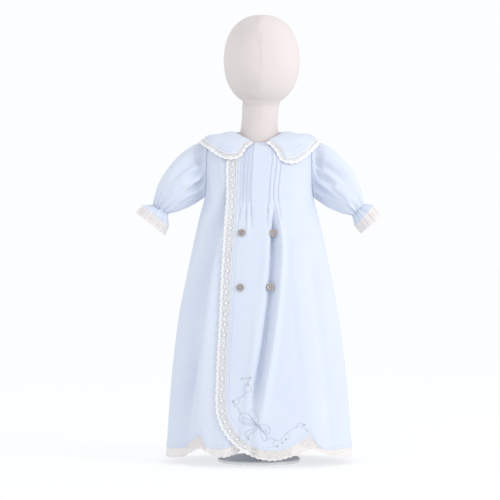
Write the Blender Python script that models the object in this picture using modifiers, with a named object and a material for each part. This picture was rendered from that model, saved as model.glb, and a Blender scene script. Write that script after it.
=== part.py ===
"""Baby gown with a wide lace-edged collar, wrapped front and gathered cuffs, worn by a limbless dress form on a stand.

The gown hangs hollow round the form. Its cloth is a set of thin walls, worked out from sections of the worn
garment: X is the wearer's left (the viewer's right), the front faces -Y, and the stand's underside is at Z = 0.
Sizes below are in millimetres and angles in degrees. An angle round the body is 0 at the centre front and
+90 at the viewer's right-hand side seam. A level is a position in the SECTIONS table, 0 at the hem.
"""

import math
from collections import namedtuple

import bmesh
import bpy
import numpy as np
from mathutils import Vector
from mathutils.bvhtree import BVHTree

MM = 0.001

# Cloth, lace and seams
CLOTH = 1.2
LACE = 1.0
LACE_WIDTH = 15.5
SEAM_GAP = 0.3
TUCK_RISE = 1.1

# The under front lies below the wrapped front by this depth, reached over so many degrees before the lace
WRAP_DEPTH = 2.3
WRAP_RAMP = 7.0
# Below the chest it lies deeper still from one angle on, clear of the wrapped front's folds
UNDER_DEPTH = 6.0
UNDER_FROM = -30.0
UNDER_RAMP = 20.0
UNDER_TOP_LEVEL = 7.2
UNDER_FULL_LEVEL = 5.7

# Sections of the worn gown, hem to neck: heights at side, front and back, half width, depths, squareness
Section = namedtuple("Section", "name z_side z_front z_back half_width front back power")
SECTIONS = [
    Section("hem", 20, 20, 20, 148, 102, 98, 2.15),
    Section("low skirt", 85, 85, 85, 143.5, 97, 95, 2.15),
    Section("mid skirt", 162, 162, 162, 136, 91, 90, 2.15),
    Section("high skirt", 238, 238, 238, 126, 83, 82, 2.2),
    Section("hip", 315, 315, 315, 111.5, 74, 72, 2.25),
    Section("waist", 382, 382, 382, 97, 64, 62, 2.3),
    Section("armpit", 424, 424, 424, 86.5, 58, 56, 2.4),
    Section("chest", 465, 463, 463, 86, 55, 54, 2.6),
    Section("upper chest", 495, 487, 490, 86, 50, 48, 2.6),
    Section("shoulder tip", 513, 500, 508, 80, 44, 40, 2.5),
    Section("shoulder", 519.5, 504, 518, 60, 40, 34, 2.3),
    Section("neck", 524, 507, 523, 38, 36, 29, 2.1),
]
NECK = len(SECTIONS) - 1
ARMPIT = 6.0
SHOULDER_TIP = 9.2
ARMHOLE_SPREAD = 14.5

# Soft folds: each follows a path of (height, angle), top first; height is outward, spread is its half width
Fold = namedtuple("Fold", "path spread height")
OVER_FOLDS = [
    Fold(((416, 22), (370, 20.5), (322, 17), (258, 12), (194, 5.5), (130, -2), (50, -9)), 4.5, -6.0),
    Fold(((412, 31), (370, 30), (322, 27), (258, 21.5), (194, 15.5), (130, 8.5), (50, 2)), 7.0, 5.0),
    Fold(((380, 43), (258, 41), (194, 43), (130, 44), (30, 50)), 11, 3.0),
    Fold(((360, 58), (30, 60)), 8, -4.0),
    Fold(((330, 76), (30, 77)), 8, 2.2),
    Fold(((170, -14), (30, -20)), 7, -1.6),
]
UNDER_FOLDS = [
    Fold(((430, -44), (320, -56), (235, -61), (30, -62)), 8.5, -6.5),
    Fold(((380, -78), (30, -77)), 8, 2.4),
]
BACK_FOLDS = [
    Fold(((400, 104), (30, 103)), 8, -3.8),
    Fold(((430, 124), (30, 121)), 11, 4.4),
    Fold(((370, 143), (30, 140)), 8, -4.2),
    Fold(((440, 163), (30, 160)), 10, 3.8),
    Fold(((350, 181), (30, 183)), 9, -4.6),
    Fold(((430, 203), (30, 204)), 11, 4.2),
    Fold(((380, 222), (30, 225)), 8, -3.6),
    Fold(((420, 241), (30, 243)), 10, 4.0),
    Fold(((390, 258), (30, 259)), 7, -3.2),
]
FOLD_FADE = 75.0

# Hem scallops, from point to point in angle, with the lowest heights of cloth and lace
Scallop = namedtuple("Scallop", "start end cloth_low lace_low")
SCALLOPS = [
    Scallop(-103, -48, 24, 9.5),
    Scallop(-48, -15, 29, 15),
    Scallop(-15, 42.4, 29, 15),
    Scallop(42.4, 105, 25, 10.5),
    Scallop(105, 154, 25.5, 10.5),
    Scallop(154, 206, 25.5, 10.5),
    Scallop(206, 257, 25.5, 10.5),
]
CUSP_CLOTH = 51.5
CUSP_LACE = 29.0
CLOTH_CURVE = 2.7
LACE_CURVE = 1.7

# Lace gathered as it is sewn on: distance from one crest or hollow to the next, and their height
LaceGather = namedtuple("LaceGather", "step ripple")
FRONT_LACE = LaceGather(9.0, 0.5)
HEM_LACE = LaceGather(7.0, 0.9)

# The wrapped front: its free edge from the neck down to the rounded lower corner
EdgeRow = namedtuple("EdgeRow", "level angle")
FRONT_EDGE = [
    EdgeRow(0, -30.5),
    EdgeRow(3, -30.5),
    EdgeRow(5, -32.4),
    EdgeRow(8, -34),
    EdgeRow(9, -38),
    EdgeRow(10, -43),
    EdgeRow(11, -50),
]
# Its corner rounds from CORNER_TOP down to the foot, from where the front scallop rises to the next point
CORNER_FOOT = 12.3
CORNER_TOP = 105.0
CORNER_LOW = 26.5
CORNER_LACE_LOW = 11.2
FRONT_POINT = 42.4

# Pin tucks: stitched edges, all facing the centre front, from the neck down to where they open
TUCK_EDGES = (-25.3, -20.0, -14.0, 15.3, 21.5, 28.0)
TUCK_WIDTH = 3.8
TUCK_STEP = 0.4
TUCK_END_LEVEL = 5.5
TUCK_FULL_LEVEL = 6.0
# Towards the neck the tucks lean to the viewer's right: the full lean, each angle's share of it, and its levels
TUCK_LEAN = 7.6
LEAN_ANGLES = (-31, -13, 15, 31, 62)
LEAN_SHARES = (0, 0.25, 1, 1, 0)
LEAN_LEVELS = (5.7, 8.0)

# Collar, from the viewer's right leading edge round the back: each spoke joins an angle on the neckline to a point
# out on the shoulder
Spoke = namedtuple("Spoke", "neck_angle angle level lift")
COLLAR = [
    Spoke(24, 39.7, 7.74, 0.0),
    Spoke(34, 46.5, 7.64, 0.0),
    Spoke(45, 54, 7.76, 0.4),
    Spoke(58, 62.5, 8.05, 2.0),
    Spoke(73, 73, 8.50, 4.5),
    Spoke(89, 89.5, 8.90, 7.0),
    Spoke(107, 105, 8.75, 4.0),
    Spoke(127, 123, 8.35, 1.0),
    Spoke(152, 150, 8.00, 0.0),
    Spoke(180, 180, 7.90, 0.0),
    Spoke(208, 210, 8.00, 0.0),
    Spoke(233, 237, 8.35, 1.0),
    Spoke(253, 255, 8.75, 4.0),
    Spoke(271, 271, 8.92, 5.5),
    Spoke(287, 291, 8.56, 3.5),
    Spoke(302, 300.5, 8.22, 1.6),
    Spoke(315, 308, 8.00, 0.4),
    Spoke(327, 315.7, 7.92, 0.0),
    Spoke(338, 324, 8.06, 0.0),
]
COLLAR_LIFT = 3.2
COLLAR_LACE_WIDTH = 10.8
COLLAR_ROLL = 1.6

# Sleeves, shoulder to cuff: each ring's outer and underarm points seen from the front, and its half depth
Ring = namedtuple("Ring", "outer_x outer_z under_x under_z depth middle_y gather")
LEFT_SLEEVE = [
    Ring(96, 509.5, 90, 420, 25, 0, 0),
    Ring(113, 500.5, 99, 413.5, 28, -1, 0),
    Ring(129, 487.5, 110, 407.5, 29.5, -2, 0),
    Ring(146, 468, 121, 402.5, 28.5, -3, 0.1),
    Ring(160, 445, 132, 398.8, 25, -4, 0.5),
    Ring(166, 426, 140.5, 397.5, 19, -5, 1.1),
    Ring(168, 416.5, 144, 396.8, 14.5, -6, 1.5),
    Ring(169, 410, 146, 395.8, 11.5, -6, 1.5),
    Ring(175, 409.5, 146, 389.5, 13.5, -6, 1.6),
    Ring(186, 409.3, 144.5, 375.7, 19, -6, 2.0),
]
LEFT_CUFF_LACE = Ring(197, 397.5, 150.5, 360.5, 22, -6, 2.4)
RIGHT_SLEEVE = [
    Ring(96, 510.5, 91, 418.5, 25, 0, 0),
    Ring(114, 501.5, 101, 411, 28, -1, 0),
    Ring(131, 487, 113, 404, 29.5, -2, 0),
    Ring(147, 468.5, 124, 399.5, 28.5, -3, 0.1),
    Ring(160, 445, 134, 396, 25, -4, 0.5),
    Ring(165, 426, 143, 394.5, 19, -5, 1.1),
    Ring(166, 416, 148, 393.6, 14.5, -6, 1.5),
    Ring(167.5, 410.5, 150, 392.6, 11.5, -6, 1.5),
    Ring(173, 411, 151, 386.5, 13.5, -6, 1.6),
    Ring(183, 409.3, 153.6, 376, 19, -6, 2.0),
]
RIGHT_CUFF_LACE = Ring(196.5, 392.6, 163.2, 363.7, 22, -6, 2.4)
ARMHOLE_LIFT = 0.6
ARMHOLE_GROW = 1.6
GATHERS = 9
POINTS_PER_GATHER = 4
SleeveFold = namedtuple("SleeveFold", "angle start end spread height")
SLEEVE_FOLDS = [
    SleeveFold(30, -0.5, 5.5, 13, -2.4),
    SleeveFold(56, -0.8, 3.6, 13, -3.4),
    SleeveFold(84, 0.4, 6.0, 15, 2.4),
    SleeveFold(112, -0.6, 4.2, 12, -3.0),
    SleeveFold(140, 0.8, 6.5, 15, 2.0),
    SleeveFold(205, 0.0, 6.0, 14, -2.2),
    SleeveFold(238, -0.6, 4.5, 15, -3.0),
    SleeveFold(275, 0.5, 6.0, 17, 2.4),
    SleeveFold(310, -0.5, 4.5, 13, -2.8),
]

# Buttons: two rows of two, at an angle and height on the wrapped front
ButtonPlace = namedtuple("ButtonPlace", "name angle z")
BUTTONS = [
    ButtonPlace("button_upper_left", -22.8, 364.4),
    ButtonPlace("button_upper_right", 18.7, 363.6),
    ButtonPlace("button_lower_left", -21.1, 279),
    ButtonPlace("button_lower_right", 12.7, 279),
]
BUTTON_RADIUS = 5.9
BUTTON_PROFILE = [(0, 1.4), (3.9, 1.5), (4.6, 2.1), (5.4, 2.1), (BUTTON_RADIUS, 1.4), (5.4, 0), (0, 0)]
BUTTON_SIDES = 20
HOLE_RADIUS = 0.8
HOLE_OFFSET = 1.4
HOLE_SIDES = 6

# Dress form: torso sections below the shoulders, then neck and head
FormRing = namedtuple("FormRing", "z half_width front back middle_x middle_y power")
TORSO = [
    FormRing(322, 46, 34, 32, 0, 0, 2.1),
    FormRing(325, 54, 41, 38, 0, 0, 2.1),
    FormRing(340, 60, 46, 43, 0, 0, 2.1),
    FormRing(380, 63, 49, 45, 0, 0, 2.2),
    FormRing(424, 66, 48, 46, 0, 0, 2.3),
    FormRing(462, 71, 46, 46, 0, 0, 2.4),
]
SHOULDER_LEVELS = (8.3, 8.9, SHOULDER_TIP, 9.8, 10.4)
FORM_CLEARANCE = 1.0
FORM_FRONT_INSET = 3.8
FORM_NECK_INSET = 1.6
NECK_RINGS = [
    FormRing(529, 30.5, 25, 25, 0.5, 1, 2.0),
    FormRing(550, 29, 27, 27, 1.5, 2, 2.0),
    FormRing(567, 29.5, 30, 28, 2.5, 2, 2.0),
]
HEAD_CENTRE = (4.3, -6.0, 640.6)
HEAD_HALF = (60.5, 65.0, 72.0)
HEAD_POWER = 2.25
HEAD_ANGLES = (-61, -48, -34, -20, -6, 8, 22, 36, 50, 64, 78)
FORM_SIDES = 30

# Stand
POLE_RADIUS = 7.0
POLE_SIDES = 24
BASE_RADIUS = 66.0
BASE_HEIGHT = 6.0
BASE_EDGE = 2.0
BASE_SIDES = 48

# Colours (linear RGB), roughness and metallic
Finish = namedtuple("Finish", "colour roughness metallic")
FINISHES = {
    "blue_batiste": Finish((0.72, 0.80, 0.93, 1), 0.85, 0.0),
    "white_lace": Finish((0.88, 0.87, 0.86, 1), 0.9, 0.0),
    "shell_button": Finish((0.52, 0.46, 0.43, 1), 0.3, 0.0),
    "form_jersey": Finish((0.80, 0.75, 0.73, 1), 0.95, 0.0),
    "stand_enamel": Finish((0.82, 0.82, 0.82, 1), 0.4, 0.6),
}


# Interpolation


def between(table, position):
    """A smooth value of a table of number rows at a fractional row position."""
    last = len(table) - 1
    position = min(max(position, -0.5), last + 0.5)
    i = min(max(int(math.floor(position)), 0), last - 1)
    f = position - i
    rows = [np.array(table[min(max(k, 0), last)], float) for k in (i - 1, i, i + 1, i + 2)]
    if i == 0:
        rows[0] = 2 * rows[1] - rows[2]
    if i == last - 1:
        rows[3] = 2 * rows[2] - rows[1]
    a, b, c, d = rows
    slope_b, slope_c = (c - a) / 2, (d - b) / 2
    f2, f3 = f * f, f * f * f
    return b * (2 * f3 - 3 * f2 + 1) + slope_b * (f3 - 2 * f2 + f) + c * (3 * f2 - 2 * f3) + slope_c * (f3 - f2)


def soft_step(x):
    """0 below x = 0, 1 above x = 1, and an even curve between."""
    x = min(max(x, 0.0), 1.0)
    return x * x * (3 - 2 * x)


SECTION_NUMBERS = [s[1:] for s in SECTIONS]


def level_at(z):
    """The level whose side height is z."""
    low, high = -0.4, float(NECK)
    for _ in range(30):
        middle = (low + high) / 2
        if between(SECTION_NUMBERS, middle)[0] < z:
            low = middle
        else:
            high = middle
    return (low + high) / 2


# The worn gown's surface


def fold_height(folds, angle, z):
    """How far the folds of one panel push the cloth outward at an angle and height."""
    total = 0.0
    for fold in folds:
        top = fold.path[0][0]
        if z < top:
            heights, angles = zip(*reversed(fold.path))
            across = (angle - np.interp(z, heights, angles)) / fold.spread
            total += fold.height * soft_step((top - z) / FOLD_FADE) * math.exp(-across * across)
    return total


def side_fade(angle):
    """Folds of front and back die away at the side seams, so that the panels meet there."""
    turn = abs((angle + 180) % 360 - 180)
    return soft_step(abs(turn - 90) / 9)


def body_base(angle, level, folds):
    """A point on the gown's outer surface, before any offset."""
    z_side, z_front, z_back, half_width, front, back, power = between(SECTION_NUMBERS, level)
    s, c = math.sin(math.radians(angle)), math.cos(math.radians(angle))
    depth = front if c > 0 else back
    radius = (abs(s / half_width) ** power + abs(c / depth) ** power) ** (-1 / power)
    z = z_side + ((z_front if c > 0 else z_back) - z_side) * c * c
    radius += fold_height(folds, angle, z) * side_fade(angle)
    return np.array([radius * s, -radius * c, z])


def body_point(angle, level, lift=0.0, folds=()):
    """A point on the gown's surface, moved out along its normal by lift."""
    here = body_base(angle, level, folds)
    if lift == 0.0:
        return here
    return here + body_normal(angle, level, folds) * lift


def body_normal(angle, level, folds=()):
    """The outward direction of the gown's surface."""
    step = 0.02 if level < NECK / 2 else -0.02
    along = (body_base(angle, level + step, folds) - body_base(angle, level, folds)) / step
    across = body_base(angle + 0.3, level, folds) - body_base(angle - 0.3, level, folds)
    normal = np.cross(across, along)
    return normal / np.linalg.norm(normal)


def scallop_heights(angle):
    """Heights of the cloth's and the lace's lower edge at an angle: both rise to a point where scallops meet."""
    for scallop in SCALLOPS:
        turn = angle - 360 if angle > SCALLOPS[-1].end else angle
        if turn <= scallop.end:
            break
    share = abs(2 * (turn - scallop.start) / (scallop.end - scallop.start) - 1)
    cloth = scallop.cloth_low + (CUSP_CLOTH - scallop.cloth_low) * share ** CLOTH_CURVE
    return cloth, scallop.lace_low + (CUSP_LACE - scallop.lace_low) * share ** LACE_CURVE


def cloth_hem(angle):
    """Lower edge of the under front and the back."""
    return scallop_heights(angle)[0]


def over_hem(angle):
    """Lower edge of the wrapped front: a rounded corner, then scallops."""
    if angle > FRONT_POINT:
        return cloth_hem(angle)
    if angle >= CORNER_FOOT:
        share = (angle - CORNER_FOOT) / (FRONT_POINT - CORNER_FOOT)
        return CORNER_LOW + (CUSP_CLOTH - CORNER_LOW) * share ** CLOTH_CURVE
    across = min((CORNER_FOOT - angle) / (CORNER_FOOT - FRONT_EDGE[0].angle), 1.0)
    return CORNER_TOP - (CORNER_TOP - CORNER_LOW) * math.sqrt(1 - across * across)


def over_lace_hem(angle):
    """Lower edge of the wrapped front's hem lace, right of the corner."""
    if angle > FRONT_POINT:
        return scallop_heights(angle)[1]
    share = max((angle - CORNER_FOOT) / (FRONT_POINT - CORNER_FOOT), 0.0)
    return CORNER_LACE_LOW + (CUSP_LACE - CORNER_LACE_LOW) * share ** LACE_CURVE


def front_edge_angle(level):
    """Angle of the wrapped front's free edge at a level."""
    levels = [row.level for row in FRONT_EDGE]
    return float(np.interp(level, levels, [row.angle for row in FRONT_EDGE]))


def armhole_spread(level):
    """Half the armhole's opening, in degrees round the body, at a level."""
    share = (level - ARMPIT) / (SHOULDER_TIP - ARMPIT)
    if not 0 < share < 1:
        return 0.0
    return ARMHOLE_SPREAD * 2 * math.sqrt(share * (1 - share))


def seam_angle(gap, level):
    """A distance along the cloth as an angle round the body at the side seam."""
    return math.degrees(gap / between(SECTION_NUMBERS, level)[3])


# Solids


def grid_normals(grid, closed):
    """Smooth directions square to a grid of points."""
    if closed:
        across = np.roll(grid, -1, 1) - np.roll(grid, 1, 1)
    else:
        across = np.gradient(grid, axis=1)
    normal = np.cross(across, np.gradient(grid, axis=0))
    return normal / np.linalg.norm(normal, axis=2, keepdims=True)


def thicken(name, points, thickness, finish, closed=False):
    """A thin solid from a grid of points on its outer face."""
    grid = np.array(points, float)
    cloth_wall(name, grid, grid - grid_normals(grid, closed) * thickness, finish, closed)


def cloth_wall(name, outer, inner, finish, closed=False):
    """A thin solid between two grids of points; a closed grid joins its last column to its first."""
    outer, inner = np.array(outer, float), np.array(inner, float)
    rows, columns = outer.shape[:2]
    count = rows * columns
    verts = np.concatenate([outer.reshape(-1, 3), inner.reshape(-1, 3)]) * MM
    faces = []
    for r in range(rows - 1):
        for c in range(columns if closed else columns - 1):
            d = (c + 1) % columns
            quad = (r * columns + c, r * columns + d, (r + 1) * columns + d, (r + 1) * columns + c)
            faces += [quad, tuple(count + v for v in reversed(quad))]
    rims = [[r * columns + c for c in range(columns)] for r in (0, rows - 1)]
    if closed:
        rims = [rim + rim[:1] for rim in rims]
        turns = (1, -1)
    else:
        rims += [[r * columns + c for r in range(rows)] for c in (0, columns - 1)]
        turns = (1, -1, -1, 1)
    for rim, turn in zip(rims, turns):
        for a, b in zip(rim, rim[1:]):
            faces.append((a, a + count, b + count, b)[::turn])
    return add_mesh(name, verts, faces, finish)


def add_mesh(name, verts, faces, finish):
    """A named object from points in metres, with its finish, facing outward."""
    mesh = bpy.data.meshes.new(name)
    mesh.from_pydata([tuple(v) for v in verts], [], faces)
    bm = bmesh.new()
    bm.from_mesh(mesh)
    bmesh.ops.recalc_face_normals(bm, faces=bm.faces)
    bm.to_mesh(mesh)
    bm.free()
    return add_object(name, mesh, finish)


def add_object(name, mesh, finish):
    """Links a mesh into the gown's collection as a named, smooth-shaded object."""
    mesh.materials.append(materials[finish])
    mesh.shade_smooth()
    mesh.set_sharp_from_angle(angle=math.radians(50))
    obj = bpy.data.objects.new(name, mesh)
    collection.objects.link(obj)
    return obj


def make_material(name, finish):
    """A Principled material in one colour."""
    material = bpy.data.materials.new(name)
    material.use_nodes = True
    shader = material.node_tree.nodes["Principled BSDF"]
    shader.inputs["Base Color"].default_value = finish.colour
    shader.inputs["Roughness"].default_value = finish.roughness
    shader.inputs["Metallic"].default_value = finish.metallic
    return material


# Gown panels

UPPER_ROWS = [level_at(z) for z in (130, 178, 232, 284, 332, 372)]
UPPER_ROWS += [TUCK_END_LEVEL, TUCK_FULL_LEVEL, 6.3, 6.9, 7.6, 8.3, 8.9, SHOULDER_TIP, 9.8, 10.4, NECK]
LOWER_ROWS = 3


def panel_levels(hem_z):
    """Levels of one column of a panel: a few from its own hem, then the shared ones."""
    start = level_at(hem_z)
    lower = [start + (UPPER_ROWS[0] - start) * k / LOWER_ROWS for k in range(LOWER_ROWS)]
    return lower + UPPER_ROWS


def stretch(angle, pivot, end, new_end):
    """Moves an angle beyond the pivot so that the panel's end lands on new_end."""
    if (angle - pivot) * (end - pivot) <= 0:
        return angle
    return pivot + (angle - pivot) * (new_end - pivot) / (end - pivot)


def tuck_columns():
    """Angles of the columns that carry the pin tucks: foot, crest and step of each."""
    columns = []
    for edge in TUCK_EDGES:
        columns += [edge + math.copysign(step, edge) for step in (-TUCK_STEP, TUCK_STEP, TUCK_WIDTH)]
    return sorted(columns)


def tuck_rise(angle, level):
    """Height of the pin tucks above the panel: each is a stitched fold that ends in a step."""
    ended = soft_step((level - TUCK_END_LEVEL) / (TUCK_FULL_LEVEL - TUCK_END_LEVEL))
    for edge in TUCK_EDGES:
        beyond = (angle - edge) * math.copysign(1, edge)
        share = (beyond - TUCK_STEP * 0.99) / (TUCK_WIDTH - TUCK_STEP)
        if -0.01 <= share <= 1:
            return TUCK_RISE * (1 - share) * ended
    return 0.0


OVER_COLUMNS = sorted([-31, -7, 0, 7] + tuck_columns() + [33, 38, 40.5, 42.4, 44.5, 49, 55, 62, 69, 76, 83, 90])
UNDER_COLUMNS = [-90, -84, -78, -72, -66, -60, -54, -50.5, -48, -45.5, -40, -33, -26, -20, -15, -9, 5, 18, 30]
BACK_COLUMNS = [90, 97, 102, 105, 108, 116, 124, 133, 142, 150, 154, 158, 166, 174,
                182, 191, 201, 206, 211, 219, 228, 237, 246, 253, 257, 261, 270]


class Panel:
    """A panel's columns of surface positions, from which its wall and its laces are made."""

    def __init__(self, angles, hem, shift, sink, folds):
        """Columns at the given angles, with functions for the hem's height, the moved angle and the sink."""
        self.folds, self.sink = folds, sink
        columns = []
        for angle in angles:
            columns.append([(shift(angle, level), level, angle) for level in panel_levels(hem(angle))])
        self.places = [[column[row] for column in columns] for row in range(len(columns[0]))]

    def grid(self, lift=lambda angle, level: 0.0):
        """Points of the panel raised by a function of column angle and level."""
        return [
            [self.point(moved, level, lift(angle, level)) for moved, level, angle in row]
            for row in self.places
        ]

    def point(self, angle, level, lift=0.0):
        """A point of the panel's surface."""
        return body_point(angle, level, lift - self.sink(angle, level), self.folds)

    def build(self, name, relief=lambda angle, level: 0.0):
        """The panel's wall, with relief on its outer face."""
        return cloth_wall(name, self.grid(relief), self.grid(lambda angle, level: -CLOTH), "blue_batiste")


def flat(angle, level):
    """No sink."""
    return 0.0


def tuck_lean(angle, level):
    """How far round the body the tucks' lean moves a column of the wrapped front."""
    low, high = LEAN_LEVELS
    return TUCK_LEAN * float(np.interp(angle, LEAN_ANGLES, LEAN_SHARES)) * soft_step((level - low) / (high - low))


def over_shift(angle, level):
    """Fits a column of the wrapped front between its free edge and the side seam, leaning with the tucks."""
    seam = 90 - armhole_spread(level) - seam_angle(SEAM_GAP / 2, level)
    fitted = stretch(stretch(angle, -29.4, -31, front_edge_angle(level)), 62, 90, seam)
    return fitted + tuck_lean(angle, level)


def under_shift(angle, level):
    """Fits a column of the under front to the side seam."""
    return stretch(angle, -62, -90, -90 + armhole_spread(level) + seam_angle(SEAM_GAP / 2, level))


def back_shift(angle, level):
    """Fits a column of the back between the two side seams."""
    shift = armhole_spread(level) + seam_angle(SEAM_GAP / 2, level)
    return stretch(stretch(angle, 118, 90, 90 + shift), 242, 270, 270 - shift)


def wrap_sink(angle, level):
    """How far the under front lies below the surface where the wrapped front covers it."""
    radius = np.linalg.norm(body_base(front_edge_angle(level), level, ())[:2])
    cover = front_edge_angle(level) - math.degrees(LACE_WIDTH / radius)
    sunk = WRAP_DEPTH * soft_step((angle - cover) / WRAP_RAMP + 1)
    low = soft_step((UNDER_TOP_LEVEL - level) / (UNDER_TOP_LEVEL - UNDER_FULL_LEVEL))
    return sunk + UNDER_DEPTH * soft_step((angle - UNDER_FROM) / UNDER_RAMP) * low


def over_panel_hem(angle):
    """The wrapped front's lower edge at one of its columns."""
    return over_hem(max(angle, FRONT_EDGE[0].angle))


# Hem and front lace


def resample(places, length):
    """Points along a path of (angle, level) places, no more than length apart, each a share between two places."""
    out = []
    for k in range(len(places) - 1):
        (a0, l0), (a1, l1) = places[k], places[k + 1]
        reach = np.linalg.norm(body_point(a0, l0) - body_point(a1, l1))
        steps = max(1, math.ceil(reach / length))
        out += [(k, i / steps) for i in range(steps)]
    return out + [(len(places) - 2, 1.0)]


def hem_lace(name, panel, path, outer_place, gather):
    """Lace sewn along a panel's edge: it hangs beyond it, on the same surface, in small ripples."""
    places = [panel.places[r][c][:2] for r, c in path]
    outer, inner = [[], []], [[], []]
    spots = resample(places, gather.step)
    for k, (start, share) in enumerate(spots):
        (a0, l0), (a1, l1) = places[start], places[start + 1]
        angle, level = a0 + (a1 - a0) * share, l0 + (l1 - l0) * share
        shift = panel.point(a0, l0) * (1 - share) + panel.point(a1, l1) * share - panel.point(angle, level)
        end_angle, end_level = outer_place(angle, level)
        gap = SEAM_GAP / np.linalg.norm(panel.point(end_angle, end_level) - panel.point(angle, level))
        wave = 0 if k in (0, len(spots) - 1) else gather.ripple * (1 if k % 2 else -1)
        for row, out in enumerate((1.0, gap)):
            place = angle + (end_angle - angle) * out, level + (end_level - level) * out
            lift = wave * (1 - row)
            outer[row].append(shift + panel.point(*place, lift))
            inner[row].append(shift + panel.point(*place, lift - LACE))
    cloth_wall(name, outer, inner, "white_lace")


def hem_lace_outer(angle, level):
    """Where hem lace ends below a place on a panel's hem."""
    return angle, level_at(scallop_heights(angle)[1])


def front_lace_outer(angle, level):
    """Where the wrapped front's lace ends beyond a place on the panel's free edge or hem."""
    z = body_base(angle, level, ())[2]
    if angle >= CORNER_FOOT:
        return angle, level_at(over_lace_hem(angle))
    radius = np.linalg.norm(body_base(angle, level, ())[:2])
    if z > CORNER_TOP:
        return angle - math.degrees(LACE_WIDTH / radius), level
    low = FRONT_EDGE[0].angle
    across = (CORNER_FOOT - angle) / (CORNER_FOOT - low) / math.radians(CORNER_FOOT - low) / radius
    down = (CORNER_TOP - z) / (CORNER_TOP - CORNER_LOW) ** 2
    size = math.hypot(across, down)
    away = math.degrees(LACE_WIDTH * across / size / radius)
    return angle - away, level_at(z - LACE_WIDTH * down / size)


def build_front_over():
    """The wrapped front, and the lace along its free edge, rounded corner and hem."""
    panel = Panel(OVER_COLUMNS, over_panel_hem, over_shift, flat, OVER_FOLDS)
    front = panel.build("front_over", tuck_rise)
    rows, columns = len(panel.places), len(OVER_COLUMNS)
    path = [(r, 0) for r in range(rows - 1, 0, -1)] + [(0, c) for c in range(columns)]
    hem_lace("lace_over", panel, path, front_lace_outer, FRONT_LACE)
    return front


def build_front_under():
    """The under front, from the viewer's left-hand side seam to its free edge inside the wrap, and its lace."""
    panel = Panel(UNDER_COLUMNS, cloth_hem, under_shift, wrap_sink, UNDER_FOLDS)
    panel.build("front_under")
    path = [(0, c) for c in range(len(UNDER_COLUMNS))]
    hem_lace("lace_under", panel, path, hem_lace_outer, HEM_LACE)


def build_back():
    """The back, in one piece from side seam to side seam, and its lace."""
    panel = Panel(BACK_COLUMNS, cloth_hem, back_shift, flat, BACK_FOLDS)
    panel.build("back")
    path = [(0, c) for c in range(len(BACK_COLUMNS))]
    hem_lace("lace_back", panel, path, hem_lace_outer, HEM_LACE)


# Sleeves


def armhole_point(side, turn, lift, grow):
    """A point round the armhole: turn 0 at the armpit, 90 at the front edge, 180 at the shoulder tip."""
    rise = (1 - math.cos(math.radians(turn))) / 2
    level = ARMPIT + (SHOULDER_TIP - ARMPIT) * rise
    spread = ARMHOLE_SPREAD * math.sin(math.radians(turn))
    point = body_point(90 - spread, level, lift)
    out = np.array([0.0, -math.sin(math.radians(turn)), -math.cos(math.radians(turn))])
    point = point + out * grow
    point[0] *= side
    return point


def ring_point(ring, side, turn):
    """A point on one sleeve ring, with its gathers."""
    top = np.array([ring.outer_x, ring.middle_y, ring.outer_z])
    low = np.array([ring.under_x, ring.middle_y, ring.under_z])
    centre, reach = (top + low) / 2, (top - low) / 2
    wave = ring.gather * math.cos(math.radians(turn * GATHERS))
    size = 1 + wave / np.linalg.norm(reach)
    point = centre - reach * size * math.cos(math.radians(turn))
    point = point - np.array([0.0, (ring.depth + wave) * math.sin(math.radians(turn)), 0.0])
    point[0] *= side
    return point


def sleeve_fold(turn, position):
    """How far the sleeve's long soft folds push its cloth out."""
    total = 0.0
    for fold in SLEEVE_FOLDS:
        across = ((turn - fold.angle + 180) % 360 - 180) / fold.spread
        along = (position - fold.start) / (fold.end - fold.start)
        if 0 < along < 1:
            total += fold.height * math.sin(math.pi * along) * math.exp(-across * across)
    return total * soft_step(position)


SLEEVE_TURNS = [360 * k / (GATHERS * POINTS_PER_GATHER) for k in range(GATHERS * POINTS_PER_GATHER)]
SLEEVE_PLACES = (0, 0.5, 1.4, 2.5, 3.5, 4.5, 5.5, 7, 8, 9, 10)


def build_sleeve(side_name, side, rings, lace_ring):
    """A sleeve with its frill in one piece, and the lace on the frill's edge."""
    grid = []
    for place in SLEEVE_PLACES:
        line = []
        for turn in SLEEVE_TURNS:
            start = armhole_point(side, turn, ARMHOLE_LIFT, ARMHOLE_GROW)
            path = [start] + [ring_point(ring, side, turn) for ring in rings]
            line.append(between(path, place))
        middle = np.mean(line, axis=0)
        for k, turn in enumerate(SLEEVE_TURNS):
            away = line[k] - middle
            line[k] = line[k] + away / np.linalg.norm(away) * sleeve_fold(turn, place)
        grid.append(line)
    grid.append([ring_point(lace_ring, side, turn) for turn in SLEEVE_TURNS])
    outer = np.array(grid)[:, ::-side]
    normal = grid_normals(outer, True)
    seam = len(SLEEVE_PLACES)
    cloth_wall("sleeve_" + side_name, outer[:seam], (outer - normal * CLOTH)[:seam], "blue_batiste", closed=True)
    away = outer[seam] - outer[seam - 1]
    start = outer[seam - 1] + away * SEAM_GAP / np.linalg.norm(away, axis=1, keepdims=True)
    lace = np.concatenate([start[None], outer[seam:]])
    cloth_wall("cuff_lace_" + side_name, lace, lace - normal[seam - 1:] * LACE, "white_lace", closed=True)


# Collar


def collar_point(row, share):
    """A point on the collar: row is a fractional place in COLLAR, share runs from neckline to edge."""
    neck_angle, angle, level, extra = between(COLLAR, row)
    angle = neck_angle + (angle - neck_angle) * share
    roll = COLLAR_ROLL * math.sin(math.pi * min(share / 0.45, 1.0))
    lift = COLLAR_LIFT + roll + extra * share * share
    return body_point(angle, NECK + (level - NECK) * share, lift)


COLLAR_ROWS = [k / 2 for k in range(2 * (len(COLLAR) - 1) + 1)]
COLLAR_SHARES = (0.0, 0.2, 0.45, 0.72, 1.0)


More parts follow.
